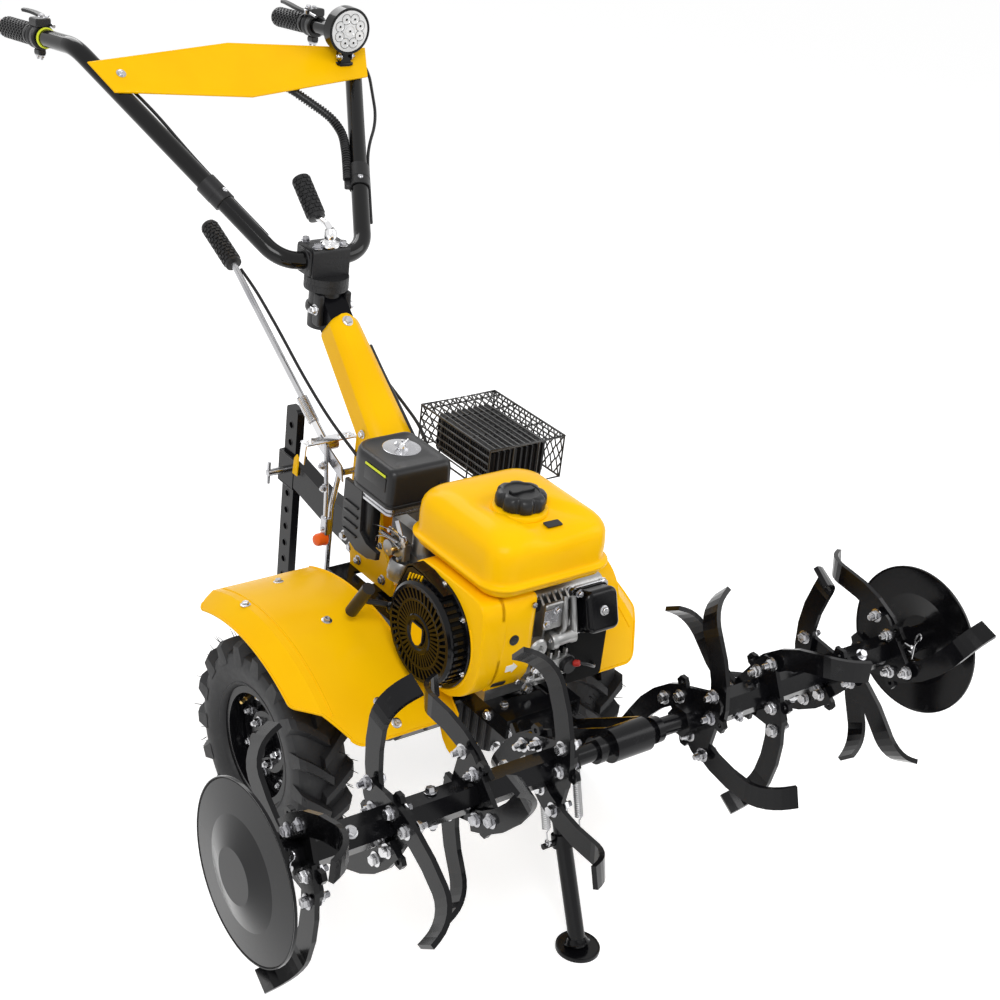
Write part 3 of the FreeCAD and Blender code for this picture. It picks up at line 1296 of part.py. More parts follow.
def build_lamp(corners):
    """A round work lamp on a small foot on the panel's left end."""
    face_y = 712
    centre = at(size("lamp_x"), face_y, size("lamp_z"))
    depth = size("lamp_depth")
    radius = size("lamp_radius")
    shell = Part.makeCylinder(radius, depth * 0.45, centre, Y_AXIS)
    rear = Part.makeCone(radius, radius * 0.6, depth * 0.55, centre + V(0, depth * 0.45, 0), Y_AXIS)
    foot = block(centre + V(0, 16, -radius - 29), 22, 18, 66)
    run = (corners[4] - corners[3])
    slope = math.degrees(math.atan2(run.z, run.y))
    place = arm_point(corners, size("panel_place"))
    normal = V(0, -math.sin(math.radians(slope)), math.cos(math.radians(slope)))
    seat = V(centre.x, place.y, place.z) + normal * (size("bar_radius") + size("panel_gauge"))
    below = block(V(0, 0, -100), 200, 400, 200)
    below.rotate(V(0, 0, 0), X_AXIS, slope)
    below.translate(seat)
    keep_shape("lamp", shell.multiFuse([rear, foot.cut(below)]).removeSplitter())


def on_frame(corners, x, along_arm, lift):
    """A point by its X, its way up the arms' plane from the crossbar, and its height over that plane."""
    run = corners[4] - corners[3]
    slope = math.atan2(run.z, run.y)
    start = corners[3]
    return V(x, start.y + along_arm * math.cos(slope) - lift * math.sin(slope),
             start.z + along_arm * math.sin(slope) + lift * math.cos(slope))


def build_handlebar_cables(corners):
    """The ribbed conduit behind the panel and the control cables, held by a clip on each arm."""
    run = corners[4] - corners[3]
    length = math.hypot(run.y, run.z)

    def beside(share, gap):
        arm_x = corners[3].x + run.x * share
        return arm_x + gap * run.Length / length

    clip_share = 0.34
    clip_half = 15.0
    radius = size("bar_radius")
    reach = radius + size("conduit_radius") + 0.3
    close = radius + size("cable_radius") + 0.3
    conduit = [(70, 400, 0), (118, 352, 0), (beside(0.56, -reach - 4), 0.56 * length, 0),
               (beside(clip_share + 0.07, -reach), (clip_share + 0.07) * length, 0),
               (beside(clip_share - 0.02, -reach), (clip_share - 0.02) * length, 0)]
    keep_shape("conduit", cable("conduit", [on_frame(corners, *p) for p in conduit], size("conduit_radius")))
    left = [(beside(0.88, close + 4), 0.88 * length, -8), (beside(0.80, close + 16), 0.80 * length, -4),
            (beside(0.58, close + 24), 0.58 * length, 0), (beside(0.44, close), 0.44 * length, 0),
            (beside(0.12, close), 0.12 * length, 0)]
    right = [(-beside(0.93, -close), 0.93 * length, 0), (-beside(0.72, -close - 10), 0.72 * length, 0),
             (-beside(0.46, -close), 0.46 * length, 0), (-beside(0.12, -close), 0.12 * length, 0)]
    pieces = []
    for name, path in (("left control cable", left), ("right control cable", right)):
        pieces.append(cable(name, [on_frame(corners, *p) for p in path], size("cable_radius")))
    way = run.normalize()
    for side in (-1, 1):
        middle = corners[3] + way * (corners[4] - corners[3]).Length * clip_share
        heading = V(way.x * side, way.y, way.z)
        middle = V(middle.x * side, middle.y, middle.z)
        outer = rod(middle - heading * clip_half, middle + heading * clip_half, radius + 4)
        inner = rod(middle - heading * 40, middle + heading * 40, radius + size("running_gap"))
        pieces.append(outer.cut(inner))
    kept = pieces[2:]
    for tube in pieces[:2]:
        kept = [clip.cut(tube) for clip in kept]
    conduit_shape = parts[-1].Shape
    kept = [clip.cut(conduit_shape) for clip in kept]
    keep_shape("cables_handlebar", Part.makeCompound(pieces[:2] + kept))


build_handlebar()


# ---------------------------------------------------------------- gear lever and linkage

def build_gear_lever():
    lever_x = size("gear_lever_x")
    foot = at(lever_x, 262, 588)
    grip_start = at(lever_x - 2, 619, 806)
    grip_end = at(lever_x - 2, 716, 846)
    stem = rod(foot, grip_start, size("lever_rod_radius"))
    grip = rod(grip_start, grip_end, size("lever_grip_radius"))
    knuckle = Part.makeCylinder(12, 26, foot - V(6, 0, 0), X_AXIS)
    keep_shape("gear_lever", stem.multiFuse([grip, knuckle]).removeSplitter())
    pivot = Part.makeCylinder(6, abs(lever_x) - size("column_size") / 2 - size("plate_gauge"),
                              at(lever_x, 200, 560), X_AXIS)
    plate = prism([at(lever_x - 9, 188, 548), at(lever_x - 9, 196, 576), at(lever_x - 9, 270, 604),
                   at(lever_x - 9, 276, 580)], 3, X_AXIS)
    below_bed = size("bed_height") - size("bed_angle_leg") - 14
    behind_bed = size("bed_rear") + 24
    stub_y = size("gearbox_rear")
    shift = rounded_wire([at(lever_x - 4, behind_bed - 20, 568), at(lever_x - 4, behind_bed, 480),
                          at(lever_x - 4, behind_bed, below_bed - 8),
                          at(lever_x + 12, stub_y + 20, below_bed - 22)], [40, 24])
    link = tube_along(shift, 5)
    stub = Part.makeCylinder(9, 26, at(lever_x + 12, stub_y, below_bed - 22), Y_AXIS)
    keep_shape("gear_linkage", link.multiFuse([pivot, plate, stub]).removeSplitter())


def build_chassis_cables():
    """The throttle cable from the swivel to the crankcase, and the thin cable beside the gear lever."""
    radius = size("cable_radius")
    post_x = size("swivel_radius") - 10 + radius + size("seat_gap")
    swivel_y = size("swivel_y")
    swivel_z = size("swivel_z")
    case_rear = size("crank_y") + 8 + size("block_length") / 2
    gap = size("seat_gap")
    throttle = [at(post_x, swivel_y, swivel_z - 22), at(post_x + 4, swivel_y - 20, swivel_z - 76),
                at(post_x + 20, swivel_y - 78, swivel_z - 128), at(68, 236, 676), at(68, 150, 646),
                at(44, 80, 618), at(28, 10, 575), at(27, case_rear + 59, 506), at(27, case_rear + gap, 506)]
    lever_x = size("gear_lever_x")
    beside = size("lever_rod_radius") + radius + gap
    plate_x = -size("column_size") / 2 - size("plate_gauge") - radius - gap
    thin = [at(lever_x - 2 + beside, 604, 797), at(-43, 556, 772), at(-39, 474, 724), at(-36, 386, 668),
            at(-34, 290, 620), at(plate_x, 198, 590)]
    tubes = [cable("throttle cable", throttle, radius), cable("lever cable", thin, radius)]
    keep_shape("cables_chassis", Part.makeCompound(tubes))


build_gear_lever()
build_chassis_cables()


# ---------------------------------------------------------------- checks and output

doc.recompute()
for item in doc.Objects:
    if "Invalid" in item.State or "Error" in item.State:
        raise RuntimeError("%s could not be rebuilt: %s" % (item.Label, item.State))
for part in parts:
    if part.Shape.isNull() or not part.Shape.isValid():
        raise RuntimeError("%s has no valid shape" % part.Label)
for part in parts:
    part.Shape.exportStep("parts/%s.step" % part.Label)
bounds = FreeCAD.BoundBox()
for part in parts:
    bounds.add(part.Shape.BoundBox)
print("sub-parts: %d" % len(parts))
print("bounds: %s" % bounds)
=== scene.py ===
"""Looks of the walk-behind garden tiller: finishes, small parts, light and camera around its CAD frame."""
import math
import random

import bmesh
import bpy
from mathutils import Matrix, Vector
from mathutils.bvhtree import BVHTree


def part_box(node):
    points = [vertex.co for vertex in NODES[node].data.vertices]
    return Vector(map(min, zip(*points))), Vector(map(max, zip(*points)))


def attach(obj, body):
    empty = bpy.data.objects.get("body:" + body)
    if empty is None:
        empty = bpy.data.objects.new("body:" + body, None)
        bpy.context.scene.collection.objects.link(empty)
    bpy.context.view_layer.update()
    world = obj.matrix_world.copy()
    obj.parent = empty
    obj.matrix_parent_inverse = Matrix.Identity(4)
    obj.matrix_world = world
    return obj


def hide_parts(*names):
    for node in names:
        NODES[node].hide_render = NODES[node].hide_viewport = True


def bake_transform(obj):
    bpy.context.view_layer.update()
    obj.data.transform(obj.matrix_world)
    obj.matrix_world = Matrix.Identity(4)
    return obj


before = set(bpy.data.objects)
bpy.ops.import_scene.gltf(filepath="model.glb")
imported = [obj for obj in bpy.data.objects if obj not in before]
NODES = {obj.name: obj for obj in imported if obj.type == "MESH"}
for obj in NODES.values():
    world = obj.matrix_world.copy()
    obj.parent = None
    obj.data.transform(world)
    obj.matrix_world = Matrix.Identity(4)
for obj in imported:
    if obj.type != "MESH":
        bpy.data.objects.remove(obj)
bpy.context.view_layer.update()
scene = bpy.context.scene
RANDOM = random.Random(7)
MM = 0.001
WHEEL_RADIUS, LUGS_PER_ROW, HAIRS_PER_TYRE = 188, 17, 110
LEFT, RIGHT = Vector((1, 0, 0)), Vector((-1, 0, 0))
REAR, FORE = Vector((0, 1, 0)), Vector((0, -1, 0))
UP, DOWN = Vector((0, 0, 1)), Vector((0, 0, -1))
WHITE = (1.0, 1.0, 1.0, 1.0)


def middle(node):
    """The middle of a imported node's box."""
    low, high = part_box(node)
    return (low + high) / 2


AXLE_Y = middle("rim_left").y


def at(x, y, z):
    """A point in millimetres, y counted from the wheel axle, as metres in the model's frame."""
    return Vector((x * MM, y * MM + AXLE_Y, z * MM))


# The middle of each group of pieces, or the ends of its run.
ROTOR = at(0, -542, 432)
STAND_HINGE, STAND_FOOT = at(0, -388, 288), at(0, -512, 0)
STARTER = at(-127, -205, 478)
FILLER = at(-6, -231, 690)
SWIVEL = at(0, 385, 846)
COLUMN_FOOT, COLUMN_HEAD = at(0, 165, 633), at(0, 385, 817)


# ------------------------------------------------------------------ shader trees

def add_node(tree, kind, inputs=(), **settings):
    """A new shader node with its settings and the values of its unlinked inputs."""
    made = tree.nodes.new(kind)
    for name, value in settings.items():
        setattr(made, name, value)
    for name, value in dict(inputs).items():
        made.inputs[name].default_value = value
    return made


def join(first, output, second, socket):
    """A link from one shader node's output to another's input."""
    second.id_data.links.new(first.outputs[output], second.inputs[socket])


def seen_directly(tree):
    """Is Camera Ray, Is Glossy Ray or Is Transmission Ray, as one factor."""
    path = add_node(tree, "ShaderNodeLightPath")
    first = add_node(tree, "ShaderNodeMath", operation="MAXIMUM")
    second = add_node(tree, "ShaderNodeMath", operation="MAXIMUM")
    join(path, "Is Camera Ray", first, 0)
    join(path, "Is Glossy Ray", first, 1)
    join(first, "Value", second, 0)
    join(path, "Is Transmission Ray", second, 1)
    return second


def mixed_by_ray(tree, seen_elsewhere, output_name, seen_straight, straight_name, output):
    """One shader for light that reaches other things and another for what a viewer or a mirror sees."""
    mix = add_node(tree, "ShaderNodeMixShader")
    join(seen_directly(tree), "Value", mix, "Fac")
    join(seen_elsewhere, output_name, mix, 1)
    join(seen_straight, straight_name, mix, 2)
    join(mix, "Shader", output, "Surface")


# ------------------------------------------------------------------ camera, light, floor

def make_camera():
    """The viewpoint of the reference: high in front, on the machine's right."""
    data = bpy.data.cameras.new("camera")
    data.lens = 63.72
    data.sensor_width = 36.0
    data.clip_start = 0.05
    camera = bpy.data.objects.new("camera", data)
    scene.collection.objects.link(camera)
    right = Vector((0.8008, -0.5890, 0.1086)).normalized()
    forward = Vector((0.5687, 0.6908, -0.4465)).normalized()
    up = right.cross(forward).normalized()
    right = forward.cross(up).normalized()
    matrix = Matrix((right, up, -forward)).transposed().to_4x4()
    matrix.translation = at(-1619.0, -2139.4, 1940.2)
    camera.matrix_world = matrix
    scene.camera = camera


def area_light(name, place, target, width, power):
    """A square lamp that looks at its target; width in metres, power in watts."""
    data = bpy.data.lights.new(name, "AREA")
    data.shape = "SQUARE"
    data.size = width
    data.energy = power
    lamp = bpy.data.objects.new(name, data)
    scene.collection.objects.link(lamp)
    lamp.location = place
    lamp.rotation_euler = (Vector(target) - Vector(place)).to_track_quat("-Z", "Y").to_euler()


def floor_material():
    """Pale matt paint that keeps the shadow and looks white to the camera."""
    material = bpy.data.materials.new("floor_white")
    material.use_nodes = True
    tree = material.node_tree
    tree.nodes.clear()
    output = add_node(tree, "ShaderNodeOutputMaterial")
    paint = add_node(tree, "ShaderNodeBsdfDiffuse", {"Color": (0.88, 0.88, 0.88, 1.0)})
    glow = add_node(tree, "ShaderNodeEmission", {"Color": WHITE, "Strength": 0.50})
    both = add_node(tree, "ShaderNodeAddShader")
    join(paint, "BSDF", both, 0)
    join(glow, "Emission", both, 1)
    mixed_by_ray(tree, paint, "BSDF", both, "Shader", output)
    return material


def make_stage():
    """White surroundings, three square lamps and a floor that only takes the shadow."""
    scene.view_settings.view_transform = "Standard"
    world = bpy.data.worlds.new("studio")
    scene.world = world
    world.use_nodes = True
    tree = world.node_tree
    tree.nodes.clear()
    output = add_node(tree, "ShaderNodeOutputWorld")
    soft = add_node(tree, "ShaderNodeBackground", {"Color": WHITE, "Strength": 0.55})
    bright = add_node(tree, "ShaderNodeBackground", {"Color": WHITE, "Strength": 1.0})
    mixed_by_ray(tree, soft, "Background", bright, "Background", output)
    area_light("key", at(-1500, -1900, 2900), at(0, -200, 450), 1.6, 62)
    area_light("fill", at(2300, -1500, 1900), at(0, 0, 500), 1.8, 26)
    area_light("back", at(300, 2600, 2600), at(0, 100, 600), 1.6, 34)
    mesh = bpy.data.meshes.new("floor")
    mesh.from_pydata([(-9, -9, 0), (9, -9, 0), (9, 9, 0), (-9, 9, 0)], [], [(0, 1, 2, 3)])
    floor = bpy.data.objects.new("floor", mesh)
    floor.location.z = -0.0004
    scene.collection.objects.link(floor)
    mesh.materials.append(floor_material())


# ------------------------------------------------------------------ materials

def surface(name, colour, roughness, metallic=0.0, grain=60.0, bump=0.05, depth=0.0004, rough_spread=0.12,
            wear=None, wear_amount=0.0, second=None, specular=0.5):
    """A procedural finish: mottled colour, uneven gloss, fine relief and, where asked, scuffs."""
    material = bpy.data.materials.new(name)
    material.use_nodes = True
    tree = material.node_tree
    shader = tree.nodes["Principled BSDF"]
    shader.inputs["Metallic"].default_value = metallic
    shader.inputs["Specular IOR Level"].default_value = specular
    place = add_node(tree, "ShaderNodeTexCoord")
    broad = add_node(tree, "ShaderNodeTexNoise", {"Scale": 7.0, "Detail": 4.0})
    fine = add_node(tree, "ShaderNodeTexNoise", {"Scale": grain, "Detail": 6.0})
    join(place, "Object", broad, "Vector")
    join(place, "Object", fine, "Vector")
    ramp = add_node(tree, "ShaderNodeValToRGB")
    other = second or tuple(0.9 * c for c in colour)
    for stop, position, tone in zip(ramp.color_ramp.elements, (0.35, 0.62), (other, colour)):
        stop.position = position
        stop.color = (*tone, 1.0)
    join(broad, "Fac", ramp, "Fac")
    base, base_socket = ramp, "Color"
    if wear is not None:
        scuff = add_node(tree, "ShaderNodeTexNoise", {"Scale": 38.0, "Detail": 8.0, "Roughness": 0.7})
        spread = add_node(tree, "ShaderNodeMapRange", {"From Min": 0.60, "From Max": 0.72})
        patchy = add_node(tree, "ShaderNodeMath", operation="MULTIPLY")
        level = add_node(tree, "ShaderNodeMath", {1: wear_amount}, operation="MULTIPLY")
        base = add_node(tree, "ShaderNodeMix", data_type="RGBA")
        base.inputs["B"].default_value = (*wear, 1.0)
        join(place, "Object", scuff, "Vector")
        join(scuff, "Fac", spread, "Value")
        join(spread, "Result", patchy, 0)
        join(fine, "Fac", patchy, 1)
        join(patchy, "Value", level, 0)
        join(level, "Value", base, "Factor")
        join(ramp, "Color", base, "A")
        base_socket = "Result"
    join(base, base_socket, shader, "Base Color")
    gloss = add_node(tree, "ShaderNodeMapRange", {"To Min": max(0.02, roughness - rough_spread / 2),
                                                  "To Max": min(1.0, roughness + rough_spread / 2)})
    join(fine, "Fac", gloss, "Value")
    join(gloss, "Result", shader, "Roughness")
    relief = add_node(tree, "ShaderNodeBump", {"Strength": bump, "Distance": depth})
    join(fine, "Fac", relief, "Height")
    join(relief, "Normal", shader, "Normal")
    return material


YELLOW, YELLOW_DEEP = (0.94, 0.525, 0.002), (0.91, 0.485, 0.002)
BLACK = (0.004, 0.004, 0.005)
FINISHES = {
    "yellow": surface("yellow_enamel", YELLOW, 0.24, second=YELLOW_DEEP, grain=180, bump=0.03, specular=0.07,
                      rough_spread=0.08),
    "black": surface("black_enamel", BLACK, 0.17, second=(0.003, 0.003, 0.0035), grain=150, bump=0.05,
                     wear=(0.08, 0.08, 0.08), wear_amount=0.25, specular=0.20, rough_spread=0.10),
    "satin": surface("black_satin", (0.011, 0.011, 0.012), 0.40, second=(0.007, 0.007, 0.008), grain=260,
                     bump=0.08, wear=(0.10, 0.10, 0.10), wear_amount=0.4, specular=0.30),
    "rubber": surface("tyre_rubber", (0.017, 0.017, 0.018), 0.55, second=(0.010, 0.010, 0.011), grain=120,
                      bump=0.20, depth=0.0008, rough_spread=0.2, wear=(0.06, 0.06, 0.06), wear_amount=0.5,
                      specular=0.30),
    "plastic": surface("black_plastic", (0.010, 0.010, 0.011), 0.36, grain=520, bump=0.14, rough_spread=0.1,
                       specular=0.32),
    "gloss": surface("black_gloss_bar", (0.003, 0.003, 0.0035), 0.13, second=(0.002, 0.002, 0.002),
                     grain=140,
                     bump=0.03, specular=0.28, rough_spread=0.05),
    "wire": surface("dark_wire", (0.09, 0.09, 0.09), 0.30, metallic=0.9, second=(0.05, 0.05, 0.05),
                    grain=300,
                    bump=0.08),
    # Matt black for the LEDs, and painted shade for the dark plug and blocks in the starter and head.
    "black_and_painted_shade": surface("matt_black_and_painted_shade", (0.004, 0.004, 0.004), 0.75, grain=200, bump=0.10, specular=0.10),
    "steel": surface("zinc_steel", (0.58, 0.58, 0.59), 0.24, metallic=1.0, second=(0.34, 0.34, 0.36),
                     grain=220,
                     bump=0.12, rough_spread=0.22),
    "chrome": surface("bright_steel", (0.82, 0.82, 0.83), 0.12, metallic=1.0, grain=180, bump=0.04),
    "cast": surface("cast_aluminium", (0.40, 0.40, 0.395), 0.36, metallic=0.9, second=(0.22, 0.22, 0.22),
                    grain=300, bump=0.35, depth=0.0005, rough_spread=0.25),
    "iron": surface("black_casting", (0.014, 0.014, 0.015), 0.38, second=(0.008, 0.008, 0.009), grain=240,
                    bump=0.45, depth=0.0007, specular=0.35),
    "spring": surface("spring_steel", (0.52, 0.52, 0.53), 0.30, metallic=1.0, grain=260, bump=0.12),
    "brass": surface("yellow_zinc", (0.72, 0.52, 0.18), 0.30, metallic=1.0, second=(0.55, 0.36, 0.12),
                     grain=260,
                     bump=0.10),
    "orange": surface("orange_plastic", (0.88, 0.13, 0.01), 0.40, grain=300, bump=0.08, specular=0.3),
    "lime": surface("lime_plastic", (0.72, 0.80, 0.03), 0.5, grain=300, bump=0.08, specular=0.3),
    "red": surface("red_rubber", (0.35, 0.02, 0.015), 0.5, grain=300, bump=0.08, specular=0.3),
    "white": surface("pale_enamel", (0.80, 0.80, 0.78), 0.40, grain=300, bump=0.05, specular=0.3),
    "lens": surface("lamp_lens", (0.80, 0.80, 0.79), 0.12, metallic=0.1, second=(0.55, 0.56, 0.57), grain=90,
                    bump=0.08, specular=0.6),
}


def column_finish():
    """Black on the upright tube, yellow on its base plates, split at the cover's foot."""
    material = FINISHES["yellow"].copy()
    material.name = "column_enamel"
    tree = material.node_tree
    shader = tree.nodes["Principled BSDF"]
    old = shader.inputs["Base Color"].links[0].from_socket
    place = add_node(tree, "ShaderNodeTexCoord")
    split = add_node(tree, "ShaderNodeSeparateXYZ")
    cover_foot = 0.669
    height = add_node(tree, "ShaderNodeMapRange", {"From Min": cover_foot - MM, "From Max": cover_foot + MM})
    mix = add_node(tree, "ShaderNodeMix", data_type="RGBA")
    mix.inputs["B"].default_value = (*BLACK, 1.0)
    join(place, "Object", split, "Vector")
    join(split, "Z", height, "Value")
    join(height, "Result", mix, "Factor")
    tree.links.new(old, mix.inputs["A"])
    join(mix, "Result", shader, "Base Color")
    return material


FINISHES["column"] = column_finish()
FINISHED_NODES = {
    "rubber": "tyre_left tyre_right",
    "black": "rim_left rim_right hub_left hub_right engine_bed front_bracket stand_leg rotor_shaft "
             "tine_plates tines_left tines_right guard_discs rocker_cover recoil_cover tank_brackets "
             "fender_arms hitch_arm drag_bar",
    "iron": "gearbox swivel_head swivel_socket",
    "spring": "stand_springs",
    "cast": "engine_block cylinder_fins carburettor",
    "plastic": "spark_plug_boot recoil_handle fuel_cap air_cleaner grips hand_controls cables_chassis "
               "cables_handlebar conduit",
    "yellow": "blower_housing fuel_tank belt_guard fender_left fender_right column_cover cross_panel",
    "steel": "cleaner_base hitch_bolt gear_lever gear_linkage",
    "satin": "muffler muffler_guard",
    "gloss": "handlebar_tube lamp",
    "chrome": "clamp_lever",
    "column": "column",
}
# The nodes that carry pieces and move with another body than the chassis.
MOVING_NODES = {
    "wheel_left": "tyre_left rim_left",
    "wheel_right": "tyre_right rim_right",
    "tine_rotor": "tine_plates guard_discs",
    "stand": "stand_springs stand_leg",
    "swivel": "swivel_head clamp_lever",
    "handlebar": "grips hand_controls handlebar_tube cables_handlebar conduit lamp cross_panel",
}


def by_node(groups):
    """The same groups turned round: each node's own key."""
    return {node: key for key, nodes in groups.items() for node in nodes.split()}


NODE_FINISH, NODE_BODY = by_node(FINISHED_NODES), by_node(MOVING_NODES)


def finish_nodes():
    """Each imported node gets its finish, whether a piece takes its place later or not."""
    for name, node in NODES.items():
        node.data.materials.clear()
        node.data.materials.append(FINISHES[NODE_FINISH[name]])


# ------------------------------------------------------------------ mesh helpers

def by(x, y, z):
    """A step in millimetres, as metres."""
    return Vector((x * MM, y * MM, z * MM))


def move(place, way, far):
    """The point that lies so many millimetres from a place along a direction."""
    return place + way * (far * MM)


def spoke(u, v, angle):
    """A direction between u and v, turned by an angle in radians."""
    return u * math.cos(angle) + v * math.sin(angle)


def around(centre, u, v, angle, radius):
    """A point on a circle, with the angle in degrees and the radius in millimetres."""
    return move(centre, spoke(u, v, math.radians(angle)), radius)


def axes_for(axis, up=UP):
    """Two directions square to the axis, the second as near to 'up' as it can be, and the axis."""
    w = Vector(axis).normalized()
    hint = Vector(up)
    if abs(w.dot(hint.normalized())) > 0.97:
        hint = REAR if abs(w.y) < 0.9 else LEFT
    u = hint.cross(w).normalized()
    return u, w.cross(u), w


def quarter_turns(centres, radii, steps):
    """Four rounded corners in turn, each about its own centre."""
    points = []
    for number, ((cx, cy), radius) in enumerate(zip(centres, radii)):
        for step in range(steps + 1):
            angle = math.radians(90 * number + 90.0 * step / steps)
            points.append((cx + radius * math.cos(angle), cy + radius * math.sin(angle)))
    return points


CORNERS = ((1, 1), (-1, 1), (-1, -1), (1, -1))


def rounded_outline(wide, deep, corner, steps=6):
    """A rectangle with rounded corners about the origin, in millimetres."""
    centres = [(sx * (wide / 2 - corner), sy * (deep / 2 - corner)) for sx, sy in CORNERS]
    return quarter_turns(centres, [corner] * 4, steps)


def mixed_outline(low, high, radii, steps=8):
    """A rectangle between two corners, with its own radius at each: +X+Y, -X+Y, -X-Y, +X-Y."""
    centres = [((high[0] if sx > 0 else low[0]) - sx * radius, (high[1] if sy > 0 else low[1]) - sy * radius)
               for (sx, sy), radius in zip(CORNERS, radii)]
    return quarter_turns(centres, radii, steps)


def softened(points, times=2):
    """A line of points with its corners cut again and again until it reads as a bend."""
    for _ in range(times):
        line = [points[0]]
        for first, second in zip(points, points[1:]):
            line += [first.lerp(second, 0.25), first.lerp(second, 0.75)]
        points = line + [points[-1]]
    return points


def bent(*places):
    """A soft line through places in millimetres of at()."""
    return softened([at(*place) for place in places])


class Piece:
    """One visible piece in the making; lengths are in millimetres and places are points from at()."""

    def __init__(self, name, finish, node, angle=38):
        self.name, self.finish, self.node, self.angle = name, finish, node, angle
        self.body = NODE_BODY.get(node, "chassis")
        self.mesh = bmesh.new()

    def rows(self, rows, caps=True, ring=False):
        """A closed skin over rows with the same number of points."""
        made = [[self.mesh.verts.new(point) for point in row] for row in rows]
        count = len(made[0])
        for lower, upper in list(zip(made, made[1:])) + ([(made[-1], made[0])] if ring else []):
            for n in range(count):
                m = (n + 1) % count
                self.mesh.faces.new((lower[n], lower[m], upper[m], upper[n]))
        if caps and not ring:
            self.mesh.faces.new(list(reversed(made[0])))
            self.mesh.faces.new(made[-1])
        return self

    def turned(self, profile, place, axis, sides=32, ring=False, caps=True):
        """Pairs of (way along the axis, radius) swept around it."""
        u, v, w = axes_for(axis)
        ways = [spoke(u, v, math.radians(360.0 * n / sides)) for n in range(sides)]
        return self.rows([[place + (w * along + way * max(radius, 0.02)) * MM for way in ways]
                          for along, radius in profile], caps, ring)

    def prism(self, outline, place, axis, depth, edge=0.0):
        """A flat outline carried along the axis, with a small chamfer at both ends."""
        u, v, w = axes_for(axis)
        cx = sum(p[0] for p in outline) / len(outline)
        cy = sum(p[1] for p in outline) / len(outline)

        def row(along, inset):
            made = []
            for x, y in outline:
                dx, dy = x - cx, y - cy
                keep = 1.0 - inset / (math.hypot(dx, dy) or 1.0)
                made.append(place + (u * (cx + dx * keep) + v * (cy + dy * keep) + w * along) * MM)
            return made
        levels = [(0, edge), (edge, 0), (depth - edge, 0), (depth, edge)] if edge else [(0, 0), (depth, 0)]
        return self.rows([row(*level) for level in levels])

    def slab(self, low, high, corner=3.0, edge=1.0, axis=UP):
        """An upright or lying block between two corners in millimetres of at()."""
        centre = at(*((a + b) / 2 for a, b in zip(low, high)))
        size = Vector([abs(b - a) for a, b in zip(low, high)])
        axes = axes_for(axis)
        wide, deep, tall = (abs(size.dot(Vector([abs(c) for c in way]))) for way in axes)
        outline = rounded_outline(wide, deep, min(corner, wide / 2.01, deep / 2.01), 4)
        return self.prism(outline, centre - axes[2] * (tall / 2 * MM), axes[2], tall, edge)

    def tube(self, points, radius, sides=8, ring=False):
        """A round bar along a line of points; the radius may be a list."""
        count = len(points)
        radii = radius if isinstance(radius, list) else [radius] * count
        ways = []
        for n in range(count):
            before = points[n - 1] if (n > 0 or ring) else points[n]
            after = points[(n + 1) % count] if (n < count - 1 or ring) else points[n]
            ways.append((after - before).normalized())
        side = axes_for(ways[0])[0]
        rows = []
        for point, way, thick in zip(points, ways, radii):
            side = (side - way * side.dot(way)).normalized()
            other = way.cross(side)
            rows.append([point + spoke(side, other,
                                       2 * math.pi * k / sides) * (thick * MM) for k in range(sides)])
        return self.rows(rows, ring=ring)

    def coil(self, start, end, radius, wire, turns, sides=6, steps=14):
        """A helical spring between two points, with a straight lead to each."""
        u, v, w = axes_for(end - start)
        length = (end - start).length
        count = int(turns * steps)
        points = [start]
        for n in range(count + 1):
            share = 0.06 + 0.88 * n / count
            points.append(start + w * (length * share) + spoke(u, v,
                                                               2 * math.pi * n / steps) * (radius * MM))
        return self.tube(points + [end], wire, sides)

    def beam(self, start, end, wide, tall, up=UP):
        """A straight bar of rectangular section; wide is across, tall is along 'up'."""
        u, v, _ = axes_for(end - start, up)
        return self.rows([[p + (u * (a * wide / 2) + v * (b * tall / 2)) * MM
                           for a, b in ((-1, -1), (1, -1), (1, 1), (-1, 1))] for p in (start, end)])

    def bolt(self, place, axis, across=10.0, height=5.0, washer=True, stud=0.0, turn=0.0):
        """A hexagon head or nut on a washer, with a bit of thread beyond it."""
        u, v, w = axes_for(axis)
        start = 0.0
        if washer:
            self.turned([(0, across * 0.78), (1.2, across * 0.78), (1.4, across * 0.72)], place, w, 20)
            start = 1.4
        corner = across / math.sqrt(3)
        top = start + height
        self.rows([[place + (w * along + spoke(u, v, turn + math.pi * n / 3) * corner * scale) * MM
                    for n in range(6)] for along, scale in ((start, 1), (start + height * 0.82, 1),
                                                            (top, 0.86))])
        if not stud:
            return self.turned([(top - 0.2, corner * 0.66), (top + 0.1, corner * 0.66),
                                (top + 0.1, corner * 0.3),
                                (top - 0.2, 0.0)], place, w, 18)
        thread = [(top - 0.5, corner * 0.52)]
        for n in range(int(stud)):
            thread += [(top + n, corner * 0.56), (top + n + 0.5, corner * 0.47)]
        return self.turned(thread + [(top + stud, corner * 0.40)], place, w, 12)

    def screw(self, place, axis, radius=5.0, height=3.0):
        """A pan-head screw with a round recess."""
        return self.turned([(0, radius * 1.25), (0.8, radius * 1.25), (0.9, radius), (height * 0.6, radius),
                            (height, radius * 0.62), (height, radius * 0.34), (height * 0.45, 0.0)],
                           place, Vector(axis).normalized(), 20)

